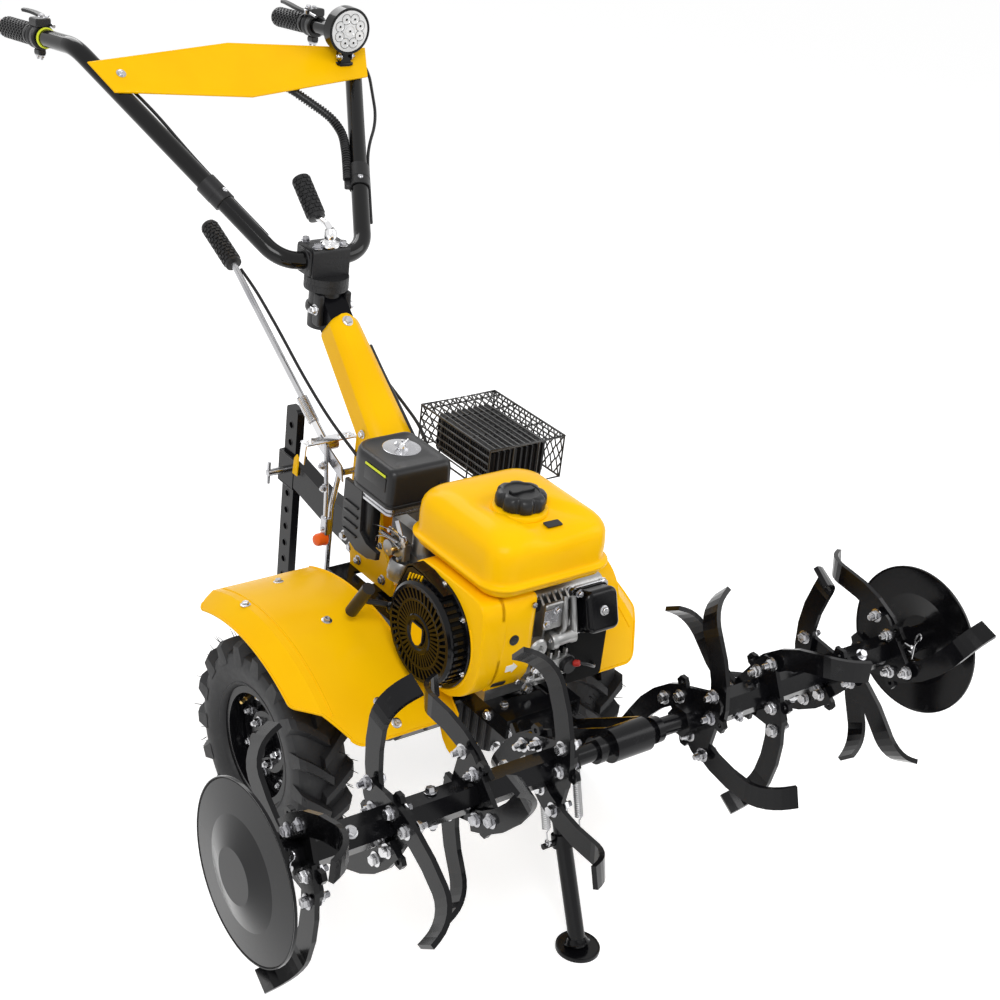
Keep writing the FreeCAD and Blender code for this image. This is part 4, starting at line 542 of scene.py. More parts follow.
    def sleeve(self, start, end, radius, rings, sectors, height):
        """Raised blocks in rows around a sleeve, as a moulded rubber grip has."""
        u, v, w = axes_for(end - start)
        pitch = (end - start).length / MM / rings
        half = math.pi / sectors
        for k in range(rings):
            for j in range(sectors):
                facing = 2 * math.pi * (j + 0.5 * (k % 2)) / sectors
                block = [[start + (w * (pitch * (k + 0.5 + sl * 0.5 * keep)) +
                                   spoke(u, v, facing + sa * half * keep) * r) * MM
                          for sa, sl in ((-1, -1), (1, -1), (1, 1), (-1, 1))]
                         for keep, r in ((0.80, radius - height), (0.62, radius))]
                self.rows(block)
        return self

    def done(self, *replaced, across=None):
        """The finished object, on its body or, given across, loose in world space, in place of the nodes it
        covers.
        """
        data = bpy.data.meshes.new(self.name)
        bmesh.ops.recalc_face_normals(self.mesh, faces=self.mesh.faces)
        self.mesh.to_mesh(data)
        self.mesh.free()
        data.materials.append(FINISHES[self.finish])
        data.shade_smooth()
        data.set_sharp_from_angle(angle=math.radians(self.angle))
        made = bpy.data.objects.new(self.name, data)
        scene.collection.objects.link(made)
        if across:
            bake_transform(made)
        else:
            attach(made, self.body)
        if replaced:
            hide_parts(*replaced)


# ------------------------------------------------------------------ wheels

def make_wheel(side, name):
    """A lugged farm tyre with its bead lines and moulding hairs, and the wheel's bolts, ribs and valve."""
    tyre_node, rim_node = "tyre_" + name, "rim_" + name
    centre = at(side * 290, 0, WHEEL_RADIUS)
    out = Vector((side, 0, 0))
    tyre = Piece("tyre_tread_" + name, "rubber", tyre_node, 30)
    half = [(0, 171), (18, 171), (36, 168.5), (45, 162), (48.5, 152), (49, 142), (48, 132), (45, 121),
            (41.5, 114),
            (42.5, 112), (41, 109), (37, 106), (32, 104.5), (30, 97.5)]
    tyre.turned([(-x, r) for x, r in reversed(half)] + half[1:], centre, out, 96, ring=True)
    # Each lug's sections: place across the tread, lag, outer and inner radius, half width.
    sections = ((-7, -0.02, 186.5, 168, 8.5), (8, 0.055, 188, 168, 8.5), (26, 0.14, 188, 166, 9.0),
                (42, 0.20, 186, 160, 10.0), (49.5, 0.23, 178, 150, 10.5), (49.8, 0.235, 166, 146, 9.0))
    for hand in (-1, 1):
        for n in range(LUGS_PER_ROW):
            first = 2 * math.pi / LUGS_PER_ROW * (n + (0.5 if hand > 0 else 0.0))
            rows = []
            for x, lag, top, foot, wide in sections:
                row = []
                for radius, spread in ((foot, 1.35), (top, 0.86), (top, -0.86), (foot, -1.35)):
                    angle = first + lag + spread * wide / radius
                    row.append(centre + by(hand * x, math.cos(angle) * radius, -math.sin(angle) * radius))
                rows.append(row)
            tyre.rows(rows)
    tyre.done(tyre_node)
    hairs = Piece("tyre_hairs_" + name, "rubber", tyre_node)
    for _ in range(HAIRS_PER_TYRE):
        angle = RANDOM.uniform(0, 2 * math.pi)
        x = RANDOM.choice((-1, 1)) * RANDOM.uniform(20, 46)
        foot = RANDOM.uniform(172, 184)
        length = RANDOM.uniform(14, 22)
        way = spoke(REAR, UP, angle)
        bend = Vector((RANDOM.uniform(-1, 1) * 0.3, RANDOM.uniform(-1, 1) * 0.4,
                       RANDOM.uniform(-1, 1) * 0.4))
        if way.z < -0.6:
            continue
        start = move(centre + by(x, 0, 0), way, foot)
        lean = Vector((math.copysign(0.35, x), 0, 0))
        tip = move(start, (way + lean + bend).normalized(), length)
        hairs.tube([start, move(start.lerp(tip, 0.5), bend, 2), tip], [0.9, 0.7, 0.4], 5)
    hairs.done()
    bolts = Piece("wheel_bolts_" + name, "steel", rim_node)
    for count, shift, raised, radius, height, stud, spin in ((8, 0.3, 3, 78, 7, 4, 1),
                                                             (5, 0.5, 11, 38, 8, 6, 0.7)):
        for n in range(count):
            way = spoke(REAR, UP, 2 * math.pi * (n + shift) / count)
            bolts.bolt(move(move(centre, out, raised), way, radius), out, 13, height, stud=stud,
                       turn=n * spin)
    bolts.done()
    ribs = Piece("wheel_ribs_" + name, "black", rim_node)
    ribs.turned([(3, 84), (5.5, 84.8), (5.5, 87), (3, 88)], centre, out, 64, ring=True)
    ribs.turned([(11, 26), (15, 26), (15, 30), (11, 31)], centre, out, 40, ring=True)
    for n in range(8):
        eye = move(centre, spoke(REAR, UP, 2 * math.pi * (n + 0.8) / 8), 71)
        ribs.turned([(2.8, 7.5), (5, 7.0), (5, 9.2), (2.8, 10.5)], eye, out, 20, ring=True)
    ribs.turned([(30, 24), (33, 22), (33, 10), (31, 8), (31, 0)], centre, out, 32)
    ribs.done()
    valve = Piece("wheel_valve_" + name, "brass", rim_node)
    valve.turned([(0, 4.6), (14, 3.6), (14, 2.6), (19, 2.6), (19, 3.4), (25, 3.4), (26, 2.4)],
                 move(centre, out, 8) + by(0, 70, 55.5), (side * 0.9, -0.35, -0.25), 14)
    valve.done()


# ------------------------------------------------------------------ rotor, stand and front bracket

# Each blade set: place along the shaft, its first blade's angle, lean, and the side of each bolt head.
TINE_SETS = ((-4, 33, -1, (-1, 1, -1)), (-3, 102, -1, (1, -1, -1)), (-2, 41, 1, (-1, 1, -1)),
             (-1, 103, 1, (-1, 1, -1)), (1, 103, 1, (1, -1, 1)), (2, 36, -1, (1, -1, -1)),
             (3, 91, -1, (-1, -1, 1)), (4, 36, 1, (1, 1, -1)))
INNER_SET, OUTER_SET = 146, 575


def make_rotor_bolts():
    """The bolts that hold each blade to its plate, with nuts and thread ends on the far side."""
    bolts = Piece("tine_bolts", "steel", "tine_plates")
    for place, first, lean, heads in TINE_SETS:
        plate_x = math.copysign(INNER_SET + (OUTER_SET - INNER_SET) / 3 * (abs(place) - 1), place)
        for third, head in enumerate(heads):
            way = math.radians(first + 120 * third)
            out = Vector((0, -math.cos(way), math.sin(way)))
            across = Vector((0, math.sin(way), math.cos(way))) * lean
            face = Vector((head, 0, 0))
            for u, v in ((8, -36), (46, -43)):
                point = move(move(ROTOR + by(plate_x, 0, 0), out, u), across, v)
                bolts.bolt(move(point, face, 12), face, 15, 8, turn=u + third)
                bolts.bolt(move(point, face, -4), -face, 15, 9, stud=8, turn=v + third)
    for side in (-1, 1):
        for x, spin in ((217, 0.4), (360, 1.3), (504, 2.2)):
            way = spoke(REAR, UP, spin)
            foot = ROTOR + by(side * x, 0, 0)
            bolts.bolt(move(foot, way, 23), way, 13, 7, turn=x)
            bolts.bolt(move(foot, way, -23), -way, 13, 7, stud=4, turn=x)
    bolts.done()


def make_disc_details():
    """The rolled rim and pressed ring of each guard disc, with the cross pin and spring clip beside it."""
    for side, name in ((-1, "right"), (1, "left")):
        centre, out = ROTOR + by(side * 675, 0, 0), Vector((side, 0, 0))
        rim = Piece("disc_rim_" + name, "black", "guard_discs", 50)
        rim.turned([(-17.8, 128.2), (-15.6, 129.4), (-15.4, 130.6), (-17.6, 131.0), (-20.0, 130.8),
                    (-20.4, 129.4)],
                   centre, out, 96, ring=True)
        rim.turned([(-0.6, 42), (-0.2, 38), (-0.2, 36), (-2.0, 34), (-2.0, 45)], centre, out, 64, ring=True)
        rim.done()
        foot = ROTOR + by(side * 612, 0, 0)
        pin = Piece("disc_pin_" + name, "steel", "guard_discs")
        pin.tube([foot + by(0, -30, 12), foot + by(0, 36, 12)], 4, 12)
        pin.turned([(0, 6), (2, 7), (5, 7), (6, 5)], foot + by(0, -36, 12), REAR, 16)
        clip = [foot + by(0, -33, 10) + by(0, y, z) for y, z in
                ((0, -8), (-3, -2), (-1, 6), (-5, 12), (-1, 20), (-4, 30), (-8, 36), (-13, 33), (-12, 26),
                 (-5, 18),
                 (-3, 8), (-4, -6), (-4, -16))]
        pin.tube(softened(clip), 1.3, 8)
        pin.done()


def make_stand():
    """The stand's two springs with their eyes, and the fixings, foot ring and collars of its leg."""
    springs = Piece("stand_coils", "spring", "stand_springs", 60)
    for side in (-1, 1):
        top, foot = at(side * 34, -396, 316), at(side * 34, -440, 178)
        way = foot - top
        springs.coil(top + way * 0.12, foot - way * 0.12, 6.4, 1.3, 26, 6, 12)
        for end, inward in ((top, way), (foot, -way)):
            springs.tube([end + inward * 0.13, end + inward * 0.03], 1.4, 8)
            eye = [end + by(0, math.cos(a) * 5.5, math.sin(a) * 5.5)
                   for a in (2 * math.pi * k / 14 for k in range(14))]
            springs.tube(eye, 1.4, 6, ring=True)
    springs.done("stand_springs", across=("chassis", "stand", at(0, -398, 308), at(0, -438, 186)))
    fixings = Piece("stand_fixings", "steel", "stand_leg")
    for side in (-1, 1):
        fixings.bolt(at(side * 42, -388, 288), (side, 0, 0), 14, 0.6, washer=False)
        fixings.turned([(0, 3.2), (10, 3.2)], at(side * 29, -441, 178), (side, 0, 0), 12)
    fixings.done()
    run = STAND_HINGE - STAND_FOOT
    foot = Piece("stand_foot_ring", "black", "stand_leg")
    foot.turned([(5, 33.5), (6.6, 34.6), (6.8, 36.2), (5, 36.8)], STAND_FOOT, UP, 56, ring=True)
    foot.turned([(0, 22), (2, 19), (7, 16.4), (9, 14.2)],
                move(STAND_FOOT, run.normalized(), 9) + by(0, 0, 2),
                run, 24)
    foot.turned([(0, 15), (0, 18.5), (1, 19), (17, 19), (18, 18.5), (18, 15)],
                STAND_FOOT + run * (164 / 288), run,
                28, ring=True)
    foot.done()


def make_bracket_details():
    """The bolts of the front bracket, of the engine's mounts and of the bed's sides."""
    bolts = Piece("bracket_bolts", "steel", "front_bracket")
    for side in (-1, 1):
        for y, z in ((-318, 292), (-318, 322), (-352, 292)):
            bolts.bolt(at(side * 42, y, z), (side, 0, 0), 13, 7, turn=y)
    for y in (-310, -230, -150):
        for x in (-52, 52):
            bolts.bolt(at(x, y, 372), UP, 10, 5, turn=x * 0.3)
            bolts.bolt(at(x, y, 338), DOWN, 10, 5, stud=4, turn=y)
    for side in (-1, 1):
        for y in (-300, -180, -60, 60, 160):
            bolts.bolt(at(side * 75, y, 355), (side, 0, 0), 12, 6, turn=y * 0.1)
    bolts.done()


# ------------------------------------------------------------------ engine: starter, blower, tank, cap

def make_recoil():
    """The pull starter: louvred barrel and face over a painted-shade plug, peaked vent, blank badge and
    screws.
    """
    shell = Piece("recoil_shell", "black", "recoil_cover", 30)
    for profile, sides in (([(0, 86), (0, 96.5), (2.5, 97), (4, 95), (4, 89), (3, 86)], 80),
                           ([(24, 84), (26, 87), (30, 86.5), (33.5, 82), (34, 76), (31, 75), (30, 80),
                             (27, 82)], 80),
                           ([(30, 55), (34, 54.5), (34.5, 57), (34, 59.5), (30, 59)], 64)):
        shell.turned(profile, STARTER, RIGHT, sides, ring=True)
    shell.turned([(27, 34), (35, 34), (36.5, 32), (36.5, 27), (34.5, 24), (34.5, 0)], STARTER, RIGHT, 56)
    barrel_bars, face_bars = 44, 40
    for n in range(barrel_bars):
        angle = 360 * n / barrel_bars
        post = around(STARTER, FORE, UP, angle, 87)
        shell.beam(move(post, RIGHT, 3), move(post, RIGHT, 26), 5.2, 4.2,
                   spoke(FORE, UP, math.radians(angle)))
    for n in range(face_bars):
        angle = 360 * n / face_bars
        for near, far, skew in ((33, 55.5, 0), (59, 78, 5)):
            shell.beam(move(around(STARTER, FORE, UP, angle, near), RIGHT, 32),
                       move(around(STARTER, FORE, UP, angle + skew, far), RIGHT, 31.5), 4.2, 5, RIGHT)
    face = [(-40, 86), (18, 99), (50, 99), (63, 91), (76, 62), (93, 18), (60, 62), (0, 86)]
    for low, keep in ((0, 1.0), (19, 0.96)):
        hood = [STARTER + by(-low, y * keep, z * keep) for y, z in face]
        shell.rows([hood, [move(point, RIGHT, 3) for point in hood]])
    edge_points = [STARTER + by(-11, y, z) for y, z in face[:6]]
    for first, second in zip(edge_points, edge_points[1:]):
        shell.beam(first, second, 22, 3)
    shell.done("recoil_cover")
    # A dark plug behind the louvres: painted shade for the cover's hollow inside.
    shade_plug = Piece("recoil_painted_shade", "black_and_painted_shade", "recoil_cover")
    shade_plug.turned([(0, 84), (25, 81), (28, 70), (28, 0)], STARTER, RIGHT, 56).done()
    vents = Piece("recoil_vent_bars", "yellow", "blower_housing")
    for n in range(5):
        foot = STARTER + by(-23, 56 - 8 * n, 66 + 2.4 * n)
        vents.beam(foot, foot + by(0, -6, 18), 2.6, 2.4, RIGHT)
    vents.done()
    outlet = Piece("recoil_outlet", "black", "recoil_cover")
    outlet.turned([(0, 9), (40, 9), (44, 11.5), (50, 11.5), (53, 9.5), (53, 5)], at(-144, -155, 470), REAR,
                  28)
    outlet.done()
    shield = [(-13, 17), (13, 17), (15, 12), (15, -6), (9, -16), (0, -20), (-9, -16), (-15, -6), (-15, 12)]
    badge = Piece("recoil_badge", "yellow", "recoil_cover")
    badge.prism(shield, move(STARTER, RIGHT, 34.5), RIGHT, 3.2, 0.8).done()
    u, v, _ = axes_for(RIGHT)
    line = [move(STARTER, RIGHT, 37.2) + (u * (x * 1.06) + v * (y * 1.06)) * MM for x, y in shield]
    Piece("recoil_badge_rim", "satin", "recoil_cover").tube(line, 1.2, 6, ring=True).done()
    screws = Piece("recoil_screws", "steel", "recoil_cover")
    for angle, radius in ((-22, 92), (38, 92), (80, 94), (205, 92), (290, 92), (150, 92)):
        screws.screw(move(around(STARTER, FORE, UP, angle, radius), RIGHT, 3.5), RIGHT, 4.6, 4)
    screws.done()


BLOWER_FRONT = [(-262, 382), (-300, 404), (-320, 440), (-325, 480), (-325, 528), (-323, 560), (-315, 577),
                (-296, 582)]
BLOWER_BACK = [(-230, 582), (-160, 582), (-134, 570), (-112, 528), (-102, 484), (-106, 440), (-130, 402),
               (-165, 381), (-205, 374), (-240, 376)]


def make_blower():
    """The fan's volute: one smooth pressed case round the cylinder's side, with its plug and fixings."""
    def closed(points, x):
        """A soft closed outline in the plane of one x."""
        return softened([Vector((x, y, z)) for y, z in points + points[:1]], 3)[:-1]

    def row(x, inset):
        cy, cz = -205, 478
        made = []
        for point in closed(BLOWER_FRONT + BLOWER_BACK, x):
            dy, dz = point.y - cy, point.z - cz
            keep = 1 - inset / math.hypot(dy, dz)
            made.append(at(x, cy + dy * keep, cz + dz * keep))
        return made
    case = Piece("blower_case", "yellow", "blower_housing", 50)
    case.rows([row(x, inset) for x, inset in
               ((-127, 2.5), (-125.5, 0.6), (-122, 0), (-84, 0), (-78, 1.0), (-75.5, 3.0))])
    wrap = [(y, z) for y, z in BLOWER_FRONT if z > 390] + [(-286, 580), (-286, 400)]
    case.rows([[at(x, max(p.y, -325 + inset) if p.y < -290 else p.y, min(p.z, 582 - inset))
                for p in closed(wrap, x)] for x, inset in
               ((-90, 1.0), (-60, 0.4), (-36, 0.6), (-27, 2.4), (-21, 6.0), (-19, 10.0))])
    case.done("blower_housing")
    arc = [around(at(-126.5, -205, 478), FORE, UP, a, 99.5) for a in range(-170, 30, 6)]
    Piece("blower_lip", "yellow", "blower_housing", 50).tube(arc, 2.2, 10).done()
    plug = Piece("blower_plug", "plastic", "blower_housing")
    plug.turned([(-3, 9), (0.6, 9), (1.4, 7.5), (1.4, 4), (0.4, 3), (0.4, 0)], at(-62, -325.2, 506), FORE,
                28).done()
    hatch = Piece("blower_hatch", "satin", "blower_housing")
    hatch.prism(rounded_outline(26, 12, 2, 3), at(-70, -307.5, 417), (-0.1, -0.85, -0.52), 1.4, 0.4).done()
    plate = Piece("blower_blank_plate", "white", "blower_housing")
    plate.prism([(-11, -6), (2, -6), (2, -10), (12, 0), (2, 10), (2, 6), (-11, 6)], at(-58, -321, 452),
                (0, -0.99, -0.14), 1.4, 0.2).done()
    screws = Piece("blower_screws", "steel", "blower_housing")
    for x, y, z in ((-30, -324, 562), (-34, -312, 414)):
        screws.bolt(at(x, y, z), FORE, 9, 4, washer=False, turn=x)
    for y, z in ((-118, 540), (-112, 430), (-160, 388)):
        screws.bolt(at(-126, y, z), RIGHT, 8, 3, turn=y)
    screws.done()


def dense(outline, parts):
    """The same outline with its four straight sides divided, so that relief can be pressed into them."""
    made = []
    corner = len(outline) // 4
    for number, (first, second) in enumerate(zip(outline, outline[1:] + outline[:1])):
        count = parts if number % corner == corner - 1 else 1
        made += [(first[0] + (second[0] - first[0]) * n / count,
                  first[1] + (second[1] - first[1]) * n / count)
                 for n in range(count)]
    return made


def clamped(value):
    """The value held between 0 and 1."""
    return max(0.0, min(1.0, value))


def make_tank():
    """The fuel tank: a soft domed shell over a rolled seam, dished around its filler."""
    # Each level: height, inset from the plan's edge, corner radius.
    levels = [(584, 26, 30), (584.5, 18, 34), (588, 11, 36), (595, 8.5, 38), (600.5, 8, 40), (601.2, 6, 42),
              (601.6, 1.2, 46), (602.6, 0.2, 47), (605.6, 0.2, 47), (606.8, 1.2, 46), (607.4, 6, 42),
              (609, 8.2, 40), (614, 9.0, 40), (626, 9.2, 40), (642, 9.6, 40), (656, 10.6, 40),
              (664, 12.4, 40),
              (671, 16.0, 40), (677, 21.5, 40), (682, 29, 40), (685.6, 38, 38), (688, 48, 36),
              (689.4, 60, 32),
              (690, 72, 26), (690, 88, 18), (690, 104, 12)]
    filler_x, filler_y, tank_x, tank_y = -6.0, -231.0, 4, -206
    dish_from, dish_depth, bulge_low, bulge_high, bulge_share = 655, 9.0, 610, 684, 0.012
    rows = []
    for z, inset, corner in levels:
        row = []
        for x, y in dense(rounded_outline(250 - 2 * inset, 258 - 2 * inset, corner, 10), 9):
            high = z
            px, py = tank_x + x, tank_y + y
            if z > dish_from:
                dx, dy = px - filler_x, py - filler_y
                along, across = dx * 0.42 - dy * 0.91, dx * 0.91 + dy * 0.42
                side = max(0.0, 1.0 - abs(across) / (46 + 0.24 * max(along, 0)))
                ends = clamped((along + 62) / 30) * clamped((118 - along) / 50)
                high -= dish_depth * min(1.0, side * 3.2) * ends * min(1.0, (z - dish_from) / 24)
            bulge = 1.0
            if bulge_low < z < bulge_high:
                bulge = 1.0 + bulge_share * math.sin((z - bulge_low) / (bulge_high - bulge_low) * math.pi)
            row.append(at(tank_x + (px - tank_x) * bulge, tank_y + (py - tank_y) * bulge, high))
        rows.append(row)
    Piece("tank_shell", "yellow", "fuel_tank", 60).rows(rows).done("fuel_tank")
    neck = Piece("tank_neck", "yellow", "fuel_tank")
    neck.turned([(-9, 46), (-4, 46), (-1.5, 44.5), (-0.8, 40), (-0.8, 30), (-9, 30)], FILLER, UP, 48,
                ring=True)
    neck.done()
    label = Piece("tank_blank_plate", "satin", "fuel_tank")
    label.prism(rounded_outline(30, 15, 2, 3), at(14, -292, 680.2), (0.02, -0.12, 0.99), 1.6, 0.2).done()


def make_cap():
    """The filler cap: eight grip lobes, a sunk ring on top and a raised handle bar."""
    count, lobes, notch_width = 160, 8, 0.34

    def row(z, radius, depth):
        made = []
        for n in range(count):
            angle = 2 * math.pi * n / count
            near = abs(((angle * lobes / (2 * math.pi)) + 0.5) % 1.0 - 0.5) * 2
            r = radius - depth * math.exp(-(near / notch_width) ** 2)
            made.append(FILLER + Vector((math.cos(angle) * r, math.sin(angle) * r, z)) * MM)
        return made
    cap = Piece("tank_cap", "plastic", "fuel_cap", 32)
    cap.rows([row(*level) for level in
              ((1, 38, 2), (2, 40.5, 5), (5, 41.8, 6.5), (15, 41.8, 6.5), (20, 40.6, 6.0), (23.4, 37.5, 4.6),
               (25, 33, 2.4), (25.4, 29.5, 0.6), (25.2, 28.4, 0), (23.2, 27.6, 0), (22.8, 26, 0),
               (23.6, 12, 0),
               (23.8, 2, 0))])
    bar = [(-22, -5), (-14, -6.5), (0, -5.2), (14, -6.5), (22, -5), (22, 5), (14, 6.5), (0, 5.2), (-14, 6.5),
           (-22, 5)]
    cap.prism(bar, FILLER + by(0, 0, 22.5), UP, 5.2, 1.2)
    cap.done("fuel_cap")


# ------------------------------------------------------------------ engine: air cleaner and carburettor

def make_air_cleaner():
    """The lid with its rim and clip, plate, wing nut, stripe and blank plate, over a bright band."""
    rows = []
    for z, inset in ((606, 1.4), (607, 0.2), (611, 0), (612, 0), (613, 1.6), (615, 1.6), (616, 0.8),
                     (660, 2.2),
                     (668, 3.4), (672.6, 6.0), (675, 10.0), (675.6, 15.0), (674.6, 17.0), (674.4, 40)):
        side = max(4, 18 - inset * 0.5)
        corners = [side, max(8, 46 - inset), max(4, 14 - inset * 0.5), side]
        rows.append([at(x, y, z) for x, y in
                     mixed_outline((-118 + inset, -35 + inset), (12 - inset, 107 - inset), corners)])
    lid = Piece("cleaner_lid", "plastic", "air_cleaner", 40)
    lid.rows(rows).slab((-20, -37, 612), (-6, -33, 642), 2, 1).done("air_cleaner")
    centre = at(-46, 46, 673.4)
    plate = Piece("cleaner_plate", "steel", "air_cleaner")
    plate.turned([(0, 33), (1.6, 33), (2.2, 31.5), (1.6, 29), (1.3, 14), (2.2, 10), (2.2, 0)], centre, UP,
                 64).done()
    nut = Piece("cleaner_wing_nut", "chrome", "air_cleaner")
    nut.turned([(2, 7.5), (7, 6.4), (10, 5), (10, 3), (15, 2.8), (15.8, 1.8)], centre, UP, 24)
    wing = [(3, 3), (6, 2), (14, 7), (15, 12), (12, 15), (7, 13), (3, 8)]
    for side in (-1, 1):
        nut.prism([(side * x, z) for x, z in wing], centre + by(0, 1.2, 0), FORE, 2.4, 0.5)
    nut.done()
    stripe = Piece("cleaner_stripe", "lime", "air_cleaner")
    stripe.beam(at(-117.6, 44, 662), at(-117.6, -16, 662), 3.4, 1.6, RIGHT).done()
    label = Piece("cleaner_blank_plate", "satin", "air_cleaner")
    label.slab((-117.6, -18, 634), (-115.6, 46, 658), 1.5, 0.4).done()
    band = Piece("cleaner_band", "steel", "cleaner_base", 50)
    band.rows([[at(x, y, z) for x, y in
                mixed_outline((-117 + inset, -34 + inset), (11 - inset, 106 - inset), (18, 44, 12, 18))]
               for z, inset in
               ((592, 4), (593, 2.5), (597, 2.5), (598.5, 4.5), (600.5, 4.5), (602, 2.5), (606, 2.5))])
    band.done("cleaner_base")


def make_carburettor():
    """Intake shroud, float bowl, throat, jets, levers, springs and links below the air cleaner."""
    shroud = Piece("intake_shroud", "plastic", "carburettor", 40)
    outline = [(-102, 112), (-104, 30), (-90, 8), (-56, -6), (-20, -4), (8, 6), (10, 20), (-22, 22),
               (-44, 36),
               (-48, 112)]
    shroud.prism(outline, at(-107, 2, 494), RIGHT, 9, 1.5)
    shroud.slab((-108, 30, 500), (-84, 96, 594), 8, 2)
    shroud.slab((-46, -36, 486), (-38, 56, 594), 4, 1.5)
    for n in range(4):
        shroud.slab((-118.5, 56, 512 + 18 * n), (-115, 98, 516 + 18 * n), 1, 0.5)
    shroud.done()
    body = Piece("carburettor_details", "cast", "carburettor")
    body.turned([(0, 20), (4, 22), (24, 22), (27, 20), (34, 19), (36, 14), (38, 5)], at(-86, -44, 512),
                (-0.25, 0, -1), 32)
    body.turned([(0, 11), (18, 11), (20, 14), (26, 14), (27, 10)], at(-84, -30, 536), RIGHT, 28)
    body.slab((-100, -62, 520), (-84, -22, 552), 4, 1.5)
    for z in (524, 546):
        body.turned([(0, 4), (6, 4), (6.5, 3)], at(-100, -54, z), RIGHT, 14)
    body.done()
    brass = Piece("carburettor_jets", "brass", "carburettor")
    brass.bolt(at(-100, -30, 530), RIGHT, 9, 5, stud=5)
    brass.bolt(at(-93, -46, 474), (-0.2, 0, -1), 11, 6)
    brass.turned([(0, 3.6), (9, 3.6), (11, 2.4)], at(-101, -44, 540), RIGHT, 14)
    brass.beam(at(-100, -70, 562), at(-100, -26, 566), 2, 8)
    brass.done()
    links = Piece("governor_links", "steel", "carburettor")
    links.tube(bent((-104, -66, 566), (-106, -40, 570), (-105, 4, 560), (-100, 30, 548)), 1.1, 8)
    links.tube(bent((-108, -60, 548), (-110, -30, 556), (-108, 10, 540), (-98, 24, 520)), 1.0, 8)
    links.coil(at(-107, -52, 556), at(-107, 2, 552), 3.2, 0.6, 22)
    for y, z in ((-64, 566), (-22, 564), (4, 520), (-50, 508)):
        links.bolt(at(-101, y, z), RIGHT, 8, 4, turn=y)
    links.beam(at(-103, -66, 552), at(-103, -40, 590), 12, 1.6, LEFT)
    links.done()


# ------------------------------------------------------------------ engine: muffler and wire guard

def make_muffler():
    """Corrugated sides and pressed louvres over the muffler box, and the exhaust's flange."""
    ribs = Piece("muffler_ribs", "satin", "muffler")
    for n in range(17):
        x = 102 + 6.6 * n
        for near, far in ((-21.5, -17), (141, 145.5)):
            ribs.slab((x - 1.5, near, 609), (x + 1.5, far, 664), 0.8, 0.5)
    for n in range(23):
        y = -14 + 6.9 * n
        for near, far in ((94.5, 99), (211, 215.5)):
            ribs.slab((near, y - 1.5, 609), (far, y + 1.5, 664), 0.8, 0.5)
    for row in range(4):
        for n in range(9):
            ribs.turned([(-8, 1.5), (-5, 4.6), (5, 4.6), (8, 1.5)], at(114 + 27 * row, -2 + 16 * n, 667.2),
                        LEFT, 12)
    ribs.slab((96, -20, 604), (214, 144, 609), 8, 1.5)
    ribs.slab((97, -19, 664), (213, 143, 668.4), 8, 1.8)
    ribs.done()
    pipe = Piece("exhaust_flange", "iron", "muffler")
    pipe.prism([(-26, -8), (-10, -18), (10, -18), (26, -8), (26, 8), (10, 18), (-10, 18), (-26, 8)],
               at(60, -109, 512), REAR, 9, 1)
    for x in (40, 80):
        pipe.bolt(at(x, -100, 512), REAR, 11, 7, stud=6)
    pipe.done()


def make_wire_guard():
    """The muffler's cage: wires on top, woven diamonds on two sides, rails and posts, and a frame."""
    x0, x1, y0, y1, z0, z1 = 75, 235, -41, 165, 604.5, 683
    diamond = 17.5
    wires = [((x0 + (x1 - x0) * n / 13, y0, z1), (x0 + (x1 - x0) * n / 13, y1, z1)) for n in range(14)]
    wires += [((x0, y, z1 - 2.6), (x1, y, z1 - 2.6)) for y in (y0 + 2, 22, 104, y1 - 14)]
    cage = Piece("guard_wires", "wire", "muffler_guard", 60)
    for start, end in wires:
        cage.tube([at(*start), at(*end)], 1.6, 8)
    for z, thick in ((z0, 1.9), (z1, 2.1)):
        cage.tube([at(x0, y0, z), at(x1, y0, z), at(x1, y1, z), at(x0, y1, z)], thick, 8, ring=True)
    for x in (x0, x1):
        for y in (y0, y1):
            cage.tube([at(x, y, z0), at(x, y, z1)], 1.6, 8)
    for low, high, place in ((y0, y1, lambda along, lift, z: at(x1 + lift, along, z)),
                             (x0, x1, lambda along, lift, z: at(along, y1 + lift, z))):
        count = round((high - low) / diamond)
        for k in range(count):
            for hand in (0, 1):
                line = []
                for level in range(4):
                    along = low + (high - low) * (k + (0.08 if (level + hand) % 2 else 0.92)) / count
                    line.append(place(along, 1.2 if level % 2 else -1.2, z0 + (z1 - z0) * level / 3))
                cage.tube(line, 1.5, 6)
    rails = [((x0, y0, z), (x0, y1, z)) for z in (z0 + (z1 - z0) * level / 6 for level in range(1, 6))]
    rails += [((x0 + 2.6, y, z0), (x0 + 2.6, y, z1)) for y in (20, 104)]
    rails += [((x, y0 + 2.6, z0), (x, y0 + 2.6, z1)) for x in (128, 182)]
    for start, end in rails:
        cage.tube([at(*start), at(*end)], 1.5, 8)
    cage.done("muffler_guard")


# ------------------------------------------------------------------ engine: head and case

